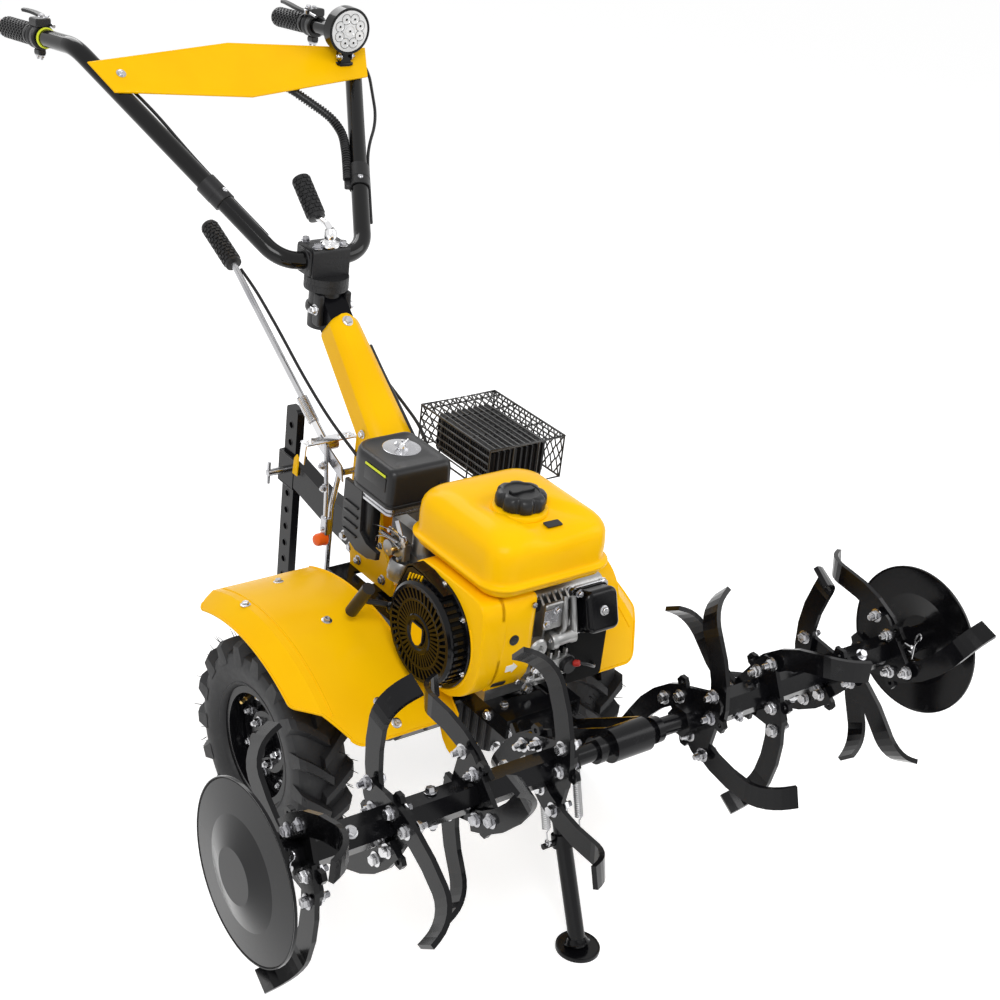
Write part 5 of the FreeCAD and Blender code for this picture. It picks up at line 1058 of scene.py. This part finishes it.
def make_head():
    """The engine's bright side: ribbed head, intake elbow, brackets, bolts, blank plate, case ribs, painted
    shade.
    """
    tilt, rise = Vector((0, -0.951, 0.309)), Vector((0, 0.309, 0.951))
    base = at(112, -296.5, 508)
    cast = Piece("head_castings", "cast", "engine_block")
    cast.prism(rounded_outline(78, 78, 8, 5), move(base, tilt, -9), tilt, 8, 1.5)
    for n in range(6):
        cast.prism(rounded_outline(80, 80, 6, 4), move(base, tilt, -(18 + 8.5 * n)), tilt, 3, 0.8)
    cast.slab((2, -318, 500), (40, -309, 548), 5, 2, axis=FORE)
    cast.turned([(0, 13), (4, 15), (10, 15), (12, 12), (38, 11), (42, 13), (48, 13), (50, 9)],
                at(18, -318, 478),
                (1, 0, 0.02), 28)
    cast.turned([(0, 18), (10, 18), (13, 15), (13, 8), (8, 6), (8, 0)], at(-4, -309, 470), FORE, 32)
    cast.slab((-10, -322, 424), (66, -309, 442), 6, 3, axis=FORE)
    cast.slab((-18, -316, 404), (70, -298, 411), 3, 1.2)
    for x in (-4, 12, 28, 44, 60):
        cast.slab((x - 2, -317, 411), (x + 2, -308, 452), 1, 0.8)
    cast.tube(bent((60, -312, 548), (58, -322, 520), (64, -322, 492), (70, -312, 466)), 6, 12)
    cast.tube(bent((44, -312, 552), (40, -320, 534), (44, -322, 500), (40, -314, 486)), 5, 12)
    cast.done()
    # Dark blocks in the head's gaps and beside the head: painted shade where those recesses lie in shadow.
    black_and_painted_shade = Piece("head_painted_shade", "black_and_painted_shade", "engine_block")
    for x, z in ((-12, 548), (60, 536), (-10, 452), (66, 452)):
        black_and_painted_shade.slab((x - 7, -313, z - 10), (x + 7, -309, z + 10), 3, 1, axis=FORE)
    black_and_painted_shade.slab((71, -309.5, 374), (149, -284, 486), 6, 2, axis=FORE)
    black_and_painted_shade.done()
    pale = Piece("head_plate", "steel", "engine_block")
    pale.prism(rounded_outline(30, 27, 3, 3), at(14, -318.5, 526), FORE, 1.6, 0.4).done()
    bolts = Piece("engine_bolts", "steel", "engine_block")
    for x, z in ((5, 516), (24, 536), (22, 481), (66, 481), (-8, 433), (60, 433), (30, 433), (66, 556)):
        bolts.bolt(at(x, -319, z), FORE, 9, 5, turn=x * 0.2)
    for x in (-10, 14, 40, 64):
        bolts.bolt(at(x, -312, 411), UP, 9, 5, turn=x * 0.3)
    for dx, dz in ((-33, -33), (33, -33), (-33, 33), (33, 33)):
        corner = LEFT * (dx * MM) + rise * (dz * MM)
        bolts.bolt(move(base + corner, tilt, -1), tilt, 11, 7, turn=dx)
    bolts.bolt(at(-2, -300, 386), FORE, 15, 8)
    for y in (-262, -200, -146):
        for z in (540, 388):
            bolts.bolt(at(148, y, z), LEFT, 10, 5, turn=y)
    bolts.done()

    def seam(lift, *outline):
        """A rounded outline round the tilted cover, some way up from its base."""
        return [move(base, tilt, lift) + (LEFT * x + rise * y) * MM for x, y in rounded_outline(*outline)]
    rocker = Piece("rocker_flange", "steel", "rocker_cover", 50)
    rocker.tube(seam(3, 69, 75, 9, 5), 1.6, 8, ring=True)
    rocker.bolt(move(base, tilt, 39.6), tilt, 11, 5)
    rocker.done()
    Piece("rocker_step", "black", "rocker_cover", 50).tube(seam(10, 67, 73, 10, 5), 1.6, 8, ring=True).done()
    case = Piece("case_ribs", "cast", "engine_block")
    for y in (-270, -240, -210, -180, -150, -122):
        case.slab((146, y - 2, 392), (152, y + 2, 536), 1, 0.8)
    for z in (396, 528):
        case.slab((147, -284, z), (151.5, -110, z + 6), 1, 0.8)
    for x in (-60, -30, 0, 30, 60, 90, 120):
        case.slab((x - 2, -110, 392), (x + 2, -105, 536), 1, 0.8)
    case.done()


def make_spark_lead():
    """The plug's red nipple, its thin lead to the fender's inner edge, and the boot's rings."""
    tip = Piece("plug_tip", "red", "spark_plug_boot")
    tip.turned([(0, 5), (3, 6), (10, 5.2), (12, 3)], at(66, -330, 430), (0.6, -0.7, 0.25), 20).done()
    lead = Piece("plug_lead", "plastic", "spark_plug_boot", 60)
    lead.tube(softened([at(70, -336, 434), at(84, -346, 432), at(104, -340, 418), at(124, -316, 404),
                        at(136, -288, 398), at(140, -270, 400)], 3), 2.6, 10)
    for n, r in enumerate((13.4, 14.6, 15.6)):
        lead.turned([(-1.2, r), (0, r + 1.2), (1.2, r)], at(59, -306 - 8 * n, 426), REAR, 32, ring=True)
    lead.done()


# ------------------------------------------------------------------ handlebar, levers and lamp

def arm(side):
    """One arm's foot and its top bend, and the end of its grip."""
    return at(side * 84, 400, 884), at(side * 288, 806, 1172), at(side * 294, 1094, 1140)


def grip_line(side):
    """The end of one grip and the direction from it to the top bend."""
    _, high, end = arm(side)
    return end, (high - end).normalized()


def make_grips():
    """Rubber sleeves with moulded blocks on the bar's two ends."""
    grips = Piece("grip_sleeves", "plastic", "grips", 50)
    for side in (-1, 1):
        end, run = grip_line(side)
        start = move(end, run, -3.5)
        grips.turned([(0, 12), (1.5, 17), (4, 18.4), (112, 18.4), (114, 20), (120, 20), (121.5, 18),
                      (121.5, 16.2)], start, run, 40)
        grips.sleeve(move(start, run, 6), move(start, run, 110), 20.2, 17, 13, 2.2)
    grips.done("grips")


def make_controls():
    """Clamp bands, pivots, screws and lever blades of the hand controls, and the ring beside one grip."""
    pods = Piece("control_pods", "plastic", "hand_controls", 40)
    metal = Piece("control_metal", "steel", "hand_controls")
    for side in (-1, 1):
        end, run = grip_line(side)
        clamp = move(end, run, 144)
        pods.turned([(-14, 16.5), (-14, 21), (-12.5, 23), (-3, 23), (-1, 21.5), (1, 21.5), (3, 23),
                     (12.5, 23),
                     (14, 21), (14, 16.5)], clamp, run, 36, ring=True)
        pods.prism(rounded_outline(30, 17, 5, 4), move(clamp + by(0, 0, 26), run, -17), run, 34, 2.5)
        pods.prism(rounded_outline(15, 12, 4, 4), move(clamp - by(0, 0, 28), run, -11), run, 22, 2)
        for k in (-8, 8):
            metal.bolt(move(clamp + by(-side * 8 + k * 0.2, 0, 34), run, k), UP, 8, 4, turn=k)
            metal.bolt(move(clamp - by(0, 0, 33), run, k), DOWN, 8, 4, stud=4)
        pivot = clamp + by(-side * 17, 4, 26)
        metal.turned([(-4, 5), (4, 5), (5, 3.5)], pivot, UP, 18)
        line = softened([move(pivot, run, -4), move(pivot, run, -30) + by(-side * 5, 0, 4),
                         move(pivot, run, -66) + by(-side * 3, 0, 9),
                         move(pivot, run, -98) + by(side * 2, 0, 10)])
        for first, second in zip(line, line[1:]):
            pods.beam(first, second + (second - first) * 0.02, 12, 5.5)
        pods.turned([(-3, 3), (-1, 6), (1, 6), (3, 3)], line[-1], UP, 18)
        metal.tube([clamp + by(-side * 14, -8, 26), clamp + by(-side * 14, -30, 24)], 3.2, 12)
    pods.done("hand_controls")
    metal.done()
    end, run = grip_line(-1)
    ring = Piece("bar_ring", "lime", "hand_controls", 50)
    ring.turned([(-3, 16.4), (-3, 18), (-1.5, 19), (1.5, 19), (3, 18), (3, 16.4)], move(end, run, 171), run,
                36,
                ring=True)
    ring.done()


def make_lever_sleeves():
    """Black moulded grips on the gear lever and the clamp lever, and the clamp's chromed foot."""
    start, end = at(-58, 616, 804.5), at(-58, 716, 846)
    run = (end - start).normalized()
    gear = Piece("gear_lever_grip", "plastic", "gear_lever", 50)
    gear.turned([(-2, 8), (-1, 15.6), (4, 15.7), (102, 15.7), (109, 15.0), (111, 10), (111.4, 0)], start,
                run, 32)
    gear.sleeve(move(start, run, 5), move(end, run, -3), 17.6, 13, 10, 2.0).done()
    start, end = at(0, 430, 948.4), at(0, 493, 1001)
    run = (end - start).normalized()
    clamp = Piece("clamp_lever_grip", "plastic", "clamp_lever", 50)
    clamp.turned([(-2, 8), (-1, 15.6), (3, 15.7), (82, 15.7), (84, 13), (85.4, 8), (85.6, 0)], start, run,
                 32)
    clamp.sleeve(move(start, run, 4), move(end, run, -2), 17.6, 10, 10, 2.0).done()
    foot = Piece("clamp_foot", "chrome", "clamp_lever")
    foot.turned([(0, 17), (3, 18), (6, 17), (8, 12), (12, 9.5), (18, 11.5), (23, 12), (28, 10.5), (31, 7),
                 (33, 6.4)], at(0, 382, 912), UP, 36).done()


def make_swivel():
    """Ribs, bolts and the toothed joint of the handlebar's swivel."""
    teeth = 30
    head = Piece("swivel_ribs", "iron", "swivel_head")
    for n in range(teeth):
        way = spoke(LEFT, REAR, math.radians(360 * n / teeth))
        foot = move(SWIVEL, way, 38)
        head.beam(foot + by(0, 0, 1.6), foot + by(0, 0, 11.2), 4.2, 4.6, way)
    for side in (-1, 1):
        head.slab((side * 30, 376, 858), (side * 41, 424, 906), 8, 2, axis=LEFT)
        head.turned([(0, 22), (5, 22), (7, 20), (7, 16)], at(side * 36, 400, 884), (side, 0, 0), 40)
    head.done()
    bolts = Piece("swivel_bolts", "steel", "swivel_head")
    for side in (-1, 1):
        for y in (380, 420):
            bolts.bolt(at(side * 26, y, 911), UP, 12, 7, turn=y)
    bolts.done()
    post = Piece("swivel_post_ribs", "iron", "swivel_socket")
    for n in range(teeth):
        way = spoke(LEFT, REAR, math.radians(360 * (n + 0.5) / teeth))
        post.beam(move(at(0, 385, 836), way, 38), move(at(0, 385, 844.4), way, 38), 4.2, 4.6, way)
    for side in (-1, 1):
        post.slab((side * 22, 350, 774), (side * 34, 372, 832), 4, 2)
    post.turned([(0, 30.5), (0, 34), (3, 35), (9, 35), (12, 34), (12, 30.5)], at(0, 385, 792), UP, 40,
                ring=True)
    post.done()
    bolts = Piece("swivel_post_bolts", "steel", "swivel_socket")
    bolts.bolt(at(-34, 361, 804), RIGHT, 13, 8, stud=5).bolt(at(34, 361, 804), LEFT, 13, 8).done()


def make_lamp():
    """A ribbed lamp housing with a rim, nine reflector cells, a lens rim and a bracket with its bolts."""
    centre = at(224, 712, 1202)
    rim = Piece("lamp_rim", "black", "lamp")
    rim.turned([(-24, 43.4), (-2, 43.8), (0, 43.6), (0.4, 41.8), (-1.0, 39.6), (-6, 38.8), (-12, 38.6)],
               centre,
               FORE, 72, caps=False)
    fins = 36
    for n in range(fins):
        way = spoke(LEFT, UP, math.radians(360 * n / fins))
        foot = move(centre, way, 42.6)
        rim.beam(foot + by(0, 4, 0), foot + by(0, 20, 0), 3.0, 2.4, way)
    rim.done()
    bowl = Piece("lamp_reflector", "lens", "lamp", 24)
    bowl.turned([(-0.8, 39.4), (0.0, 38.8), (0.1, 37.6), (-0.8, 37)], centre, FORE, 64, ring=True)
    bowl.turned([(-0.8, 38.4), (0.3, 38.2), (0.3, 0)], centre, FORE, 64)
    turns = [2 * math.pi * (n + 0.5) / 8 for n in range(8)]
    cells = [(0, 0, 11.5)] + [(24 * math.cos(turn), 24 * math.sin(turn), 9.4) for turn in turns]
    for x, z, reach in cells:
        bowl.turned([(0.1, reach), (0.9, reach - 0.4), (0.9, reach - 1.2), (0.1, reach - 2.4), (0.1, 4.6),
                     (0.9, 3.2), (1.2, 0)], move(centre + by(x, 0, z), FORE, 0.1), FORE, 24)
    bowl.done()
    leds = Piece("lamp_leds", "black_and_painted_shade", "lamp")
    for x, z, _ in cells:
        spot = move(centre + by(x, 0, z), FORE, 0.2)
        leds.turned([(0.2, 2.4), (1.1, 2.2), (1.4, 1.4), (1.4, 0.3)], spot, FORE, 16)
        leds.turned([(-0.4, 10.2), (0.36, 10.2), (0.36, 9.5), (-0.4, 9.5)], spot, FORE, 28, caps=False)
    leds.done()
    foot = Piece("lamp_bracket", "black", "lamp")
    for x in (215, 233):
        foot.beam(at(x, 722, 1150), at(x, 722, 1166), 3, 16, REAR)
    foot.prism(rounded_outline(34, 24, 6, 4), at(224, 727, 1136), UP, 5, 1).done()
    bolts = Piece("lamp_bolts", "steel", "lamp")
    for side in (-1, 1):
        bolts.bolt(at(224 + side * 11, 722, 1152), (side, 0, 0), 10, 5, stud=3)
    bolts.done()


def make_panel():
    """The cross panel's folded edges and its one fixing screw; its middle stays bare."""
    low, high, _ = arm(1)
    span = Vector((0, high.y - low.y, high.z - low.z))
    share_of_span, above_arm = 0.854, 19.2
    slope = span.normalized()
    normal = Vector((0, -slope.z, slope.y))
    face = move(Vector((0, low.y, low.z)) + slope * (span.length * share_of_span), normal, above_arm)
    folds = Piece("panel_folds", "yellow", "cross_panel", 50)
    for way, half, end_reach, middle_reach in ((1, 286, 22, 50), (-1, 261, -47, -77)):
        line = [move(move(face + by(x, 0, 0), slope, reach - way * 1.4), normal, -1)
                for x, reach in ((-half, end_reach), (0, middle_reach), (half, end_reach))]
        folds.tube(line, 1.5, 8)
    folds.done()
    place = move(face + by(-236, 0, 0), slope, -8)
    screws = Piece("panel_screws", "steel", "cross_panel")
    screws.turned([(0, 9), (1.0, 9), (1.2, 8)], place, normal, 28)
    screws.screw(move(place, normal, 1), normal, 6, 3.4).done()


def make_bar_clips():
    """Cable clamps round the arms with their screws, and the rings of the corrugated conduit."""
    clips = Piece("bar_clips", "plastic", "handlebar_tube", 40)
    ends = Piece("cable_ends", "steel", "cables_handlebar")
    for side in (-1, 1):
        low, high, _ = arm(side)
        run = (high - low).normalized()
        point = low + (high - low) * 0.30
        clips.turned([(-13, 16.1), (-13, 18.6), (-12, 19.6), (12, 19.6), (13, 18.6), (13, 16.1)], point, run,
                     36,
                     ring=True)
        u, v, _ = axes_for(run)
        clips.prism(rounded_outline(14, 12, 3, 3), move(point + u * (side * 0.021), run, -13), run, 26, 1.5)
        ends.screw(move(point, v, 19.4), v, 4, 3)
    clips.done()
    ends.done()
    conduit = Piece("conduit_rings", "plastic", "conduit", 60)
    path = conduit_path()
    spent, pitch = 0.0, 5.6 * MM
    for first, second in zip(path, path[1:]):
        length = (second - first).length
        way = (second - first).normalized()
        while spent < length:
            conduit.turned([(-1.7, 6.9), (-1.2, 8.9), (1.2, 8.9), (1.7, 6.9)],
                           first.lerp(second, spent / length),
                           way, 14, ring=True)
            spent += pitch
        spent -= length
    conduit.done()


def conduit_path():
    """The corrugated sleeve's own centre line, read from rings of its mesh."""
    points = [Vector(v.co) for v in NODES["conduit"].data.vertices]
    top = max(p.z for p in points)
    low = min(p.z for p in points)
    rings, ring_half = 26, 0.010
    line = []
    for n in range(rings + 1):
        z = top + (low - top) * (n / rings)
        near = [p for p in points if abs(p.z - z) < ring_half]
        if len(near) > 6:
            line.append(sum(near, Vector()) / len(near))
    return softened(line, 1)


# ------------------------------------------------------------------ fenders, column, linkage and hitch

def skin_edge(node, axle):
    """The longest closed outline of a bent sheet's outer face, seen from the wheel's axle."""
    sheet = bmesh.new()
    sheet.from_mesh(node.data)
    bmesh.ops.remove_doubles(sheet, verts=sheet.verts, dist=1e-6)
    sheet.normal_update()
    skin, outward, sideways = set(), 0.25, 0.7
    for face in sheet.faces:
        way = face.calc_center_median() - axle
        way.x = 0.0
        if face.normal.dot(way.normalized()) > outward and abs(face.normal.x) < sideways:
            skin.add(face)
    left = [e for e in sheet.edges if sum(1 for f in e.link_faces if f in skin) == 1]
    best, longest = [], 0.0
    while left:
        points = list(left.pop().verts)
        following = [e for e in left if points[-1] in e.verts]
        while following:
            left.remove(following[0])
            points.append(following[0].other_vert(points[-1]))
            following = [e for e in left if points[-1] in e.verts]
        length = sum((b.co - a.co).length for a, b in zip(points, points[1:]))
        if length > longest:
            longest, best = length, [p.co.copy() for p in points]
    sheet.free()
    return best


def make_fender(side, name):
    """Rolled edge, pressed bead along the crown and fixing screws, laid on the fender's own surface."""
    node = NODES["fender_" + name]
    tree = BVHTree.FromPolygons([v.co for v in node.data.vertices], [p.vertices for p in node.data.polygons])
    closest = 0.0025

    def on_top(x, y):
        """The highest point of the fender above a place, and its normal."""
        hit, normal, _, _ = tree.ray_cast(at(side * x, y, 700), DOWN)
        return (hit, normal) if hit else None

    trim = Piece("fender_trim_" + name, "yellow", "fender_" + name, 60)
    bead = [on_top(308, -200 + 360 * n / 60) for n in range(61)]
    trim.tube([found[0] for found in bead if found], 1.7, 8)
    edge = skin_edge(node, at(0, 0, WHEEL_RADIUS))
    line = [edge[0]]
    for point in edge[1:-1]:
        if (point - line[-1]).length > closest:
            line.append(point)
    if (line[-1] - line[0]).length < closest:
        line.pop()
    trim.tube(line, 1.9, 8, ring=True).done()
    screws = Piece("fender_screws_" + name, "steel", "fender_" + name)
    for x, y in [(225, -38), (322, 61), (222, -200), (225, 120), (206, -232) if side < 0 else (300, -150)]:
        found = on_top(x, y)
        if found:
            point, normal = found
            if normal.z < 0:
                normal = -normal
            screws.turned([(-0.4, 9), (0.8, 9), (1.2, 8)], point, normal, 24)
            screws.bolt(move(point, normal, 1), normal, 10, 5, washer=False, turn=x)
    screws.done()


def make_column_cover():
    """The folded cover of the column with its rounded head and bolts, a strip and the plates' bolts."""
    run = Vector((0, 220, 184)).normalized()
    face = Vector((0, -run.z, run.y))
    start, end = move(COLUMN_FOOT, run, -22), move(COLUMN_HEAD, run, -74)

    def row(spot, half, top):
        return [move(spot + by(x, 0, 0), face, lift) for x, lift in
                ((-half, -18), (-half, top - 13), (-half * 0.93, top - 9.5), (-half * 0.52, top - 0.8),
                 (-half * 0.44, top), (half * 0.44, top), (half * 0.52, top - 0.8), (half * 0.93, top - 9.5),
                 (half, top - 13), (half, -18))]
    rows = [row(move(start, run, -8), 41, 33.5), row(start, 42, 35)]
    rows += [row(start + (end - start) * s, 42 - 12 * s, 35) for s in (0.25, 0.5, 0.75, 1.0)]
    rows += [row(move(end, run, way), half, 35 - way * 0.05)
             for way, half in ((5, 29.2), (10, 27), (14, 23.5), (17, 18), (18.6, 11))]
    Piece("column_cover_fold", "yellow", "column_cover", 25).rows(rows).done("column_cover")
    bolts = Piece("column_cover_bolt", "steel", "column_cover")
    bolts.bolt(move(move(end, face, 35), run, 2), face, 13, 6)
    for side in (-1, 1):
        bolts.bolt(move(move(start + by(side * 41.5, 0, 0), run, 34), face, 4), (side, 0, 0), 10, 5)
    bolts.done()
    line = [move(move(COLUMN_FOOT, run, s), face, 14) + by(x, 0, 0) for s, x in
            ((-14, 45.5), (40, 43), (110, 38), (170, 35.5))]
    Piece("column_strip", "plastic", "column", 50).tube(softened(line), 6.5, 10).done()
    plates = Piece("column_plate_bolts", "steel", "column")
    for side in (-1, 1):
        for y, z in ((90, 392), (170, 392), (180, 560), (160, 630), (120, 470)):
            plates.bolt(at(side * 29, y, z), (side, 0, 0), 12, 6, turn=y)
    plates.done()


def make_linkage():
    """The chromed gate plate, clevis, rods, spring, yellow tab and orange cap of the gear linkage."""
    gate = Piece("gear_gate", "chrome", "gear_linkage")
    gate.slab((-106, 246, 598), (-2, 270, 600.6), 3, 0.5)
    for x in (-92, -30, -14):
        gate.turned([(0.1, 4.6), (1.2, 4.8), (1.2, 6.4), (0.1, 7)], at(x, 258, 600.4), UP, 20, ring=True)
    gate.beam(at(-104, 258, 599), at(-104, 262, 560), 16, 2.4, LEFT)
    gate.tube(bent((-4, 258, 599), (6, 240, 590), (14, 214, 566)), 3, 10)
    gate.turned([(0, 9), (46, 8.2), (48, 6)], at(-57, 262, 588), (0, 0.84, 0.52), 24).done()
    rods = Piece("gear_rods", "steel", "gear_linkage")
    rods.tube([at(-76, 214, 430), at(-72, 226, 520), at(-66, 246, 596)], 4, 12)
    rods.coil(at(-58, 300, 612), at(-58, 352, 644), 9.6, 1.3, 16)
    for y, z in ((214, 446), (226, 520), (236, 560)):
        rods.bolt(at(-75, y, z), RIGHT, 11, 6, stud=3, turn=y)
    rods.prism([(-9, -16), (9, -16), (9, 16), (-9, 16)], at(-70, 214, 452), RIGHT, 12, 2).done()
    cap = Piece("linkage_cap", "orange", "gear_linkage")
    for profile in ([(0, 9), (2, 11.5), (16, 11.5), (20, 10), (22, 6), (22.4, 0)],
                    [(-4, 7), (0, 10.4), (0.6, 12.6), (3, 12.6)]):
        cap.turned(profile, at(-76, 214, 425), (-1, -0.15, 0.1), 32)
    cap.done()
    tab = Piece("hitch_tab", "yellow", "hitch_arm")
    tab.prism([(-9, -20), (7, -20), (9, 18), (2, 24), (-6, 14)], at(-15, 421, 466), RIGHT, 3, 0.6).done()


def make_hitch():
    """The drag bar's pin and hole rims, the cheek bolts of the hitch arm and its sleeve's edges."""
    foot = at(-41, 459, 440)
    steel = Piece("hitch_fixings", "steel", "hitch_bolt")
    steel.turned([(0, 6.8), (14, 6.8), (15, 5)], foot, RIGHT, 20)
    steel.tube([foot + by(-11, 0, -22), foot + by(-11, 0, 22)], 3.4, 12)
    for y, z in ((205, 400), (230, 412)):
        for side in (-1, 1):
            steel.bolt(at(side * 23, y, z), (side, 0, 0), 13, 7, turn=y)
    steel.done()
    sleeve = Piece("hitch_sleeve_edges", "black", "hitch_arm", 50)
    for z in (409, 471):
        sleeve.tube([at(x, 459 + y, z) for x, y in rounded_outline(28, 52, 6, 4)], 1.8, 8, ring=True)
    sleeve.done()
    holes = Piece("drag_hole_rims", "satin", "drag_bar")
    for z in range(172, 533, 36):
        if not 405 < z < 475:
            for side in (-1, 1):
                holes.turned([(-0.2, 6.2), (0.7, 6.5), (0.7, 7.8), (-0.2, 8.4)], at(side * 8, 459, z),
                             (side, 0, 0), 24, ring=True)
    holes.done()


def make_guard_details():
    """Pressed edge, louvres and screws of the belt guard on the machine's left side."""
    line = []
    for centre, radius, low in ((at(201, -205, 478), 63, 41), (at(201, -40, 288), 41, 221)):
        for n in range(19):
            angle = math.radians(low + 180 * n / 18)
            line.append(centre + by(0, math.cos(angle) * radius, math.sin(angle) * radius))
    trim = Piece("belt_guard_trim", "yellow", "belt_guard", 50)
    trim.tube(line, 2.2, 8, ring=True)
    for z in range(452, 508, 11):
        trim.slab((200, -236, z), (204, -174, z + 4), 2, 1.2)
    trim.done()
    screws = Piece("belt_guard_screws", "steel", "belt_guard")
    for y, z in ((-205, 526), (-246, 440), (-40, 262), (-90, 360), (-150, 356)):
        screws.bolt(at(202, y, z), LEFT, 10, 5, turn=z)
    screws.done()


def make_gearbox_details():
    """Ribs, side covers, joint flange and bolts of the gear casting."""
    ribs = Piece("gearbox_ribs", "iron", "gearbox", 40)
    for side in (-1, 1):
        for y in (-120, -84, -48, 48, 84):
            ribs.slab((side * 56, y - 3, 210), (side * 64, y + 3, 332), 2, 1.5)
        ribs.turned([(0, 61), (4, 60), (7, 56), (7, 40), (3, 38), (3, 30)], at(side * 72, 0, WHEEL_RADIUS),
                    (side, 0, 0), 48)
    ribs.slab((-62, -140, 262), (62, 112, 270), 8, 2)
    for y in range(-262, -173, 22):
        for half, low, high in ((44, 324, 332), (46, 252, 320)):
            ribs.slab((-half, y, low), (half, y + 6, high), 2, 1)
    ribs.done()
    bolts = Piece("gearbox_bolts", "steel", "gearbox")
    for side in (-1, 1):
        for n in range(6):
            angle = math.radians(60 * n + 20)
            bolts.bolt(at(side * 78, math.cos(angle) * 50, WHEEL_RADIUS + math.sin(angle) * 50),
                       (side, 0, 0), 10, 5,
                       turn=n)
    for x in (-30, 30):
        for z in (262, 310):
            bolts.bolt(at(x, -274, z), FORE, 13, 7, turn=x)
    bolts.done()


# ------------------------------------------------------------------ the whole machine

make_camera()
make_stage()
finish_nodes()
make_wheel(-1, "right")
make_wheel(1, "left")
for make in (make_rotor_bolts, make_disc_details, make_stand, make_bracket_details, make_recoil, make_blower,
             make_tank, make_cap, make_air_cleaner, make_carburettor, make_muffler, make_wire_guard,
             make_head, make_spark_lead, make_grips, make_controls, make_lever_sleeves, make_swivel,
             make_lamp, make_panel, make_bar_clips):
    make()
make_fender(-1, "right")
make_fender(1, "left")
for make in (make_column_cover, make_linkage, make_hitch, make_guard_details, make_gearbox_details):
    make()
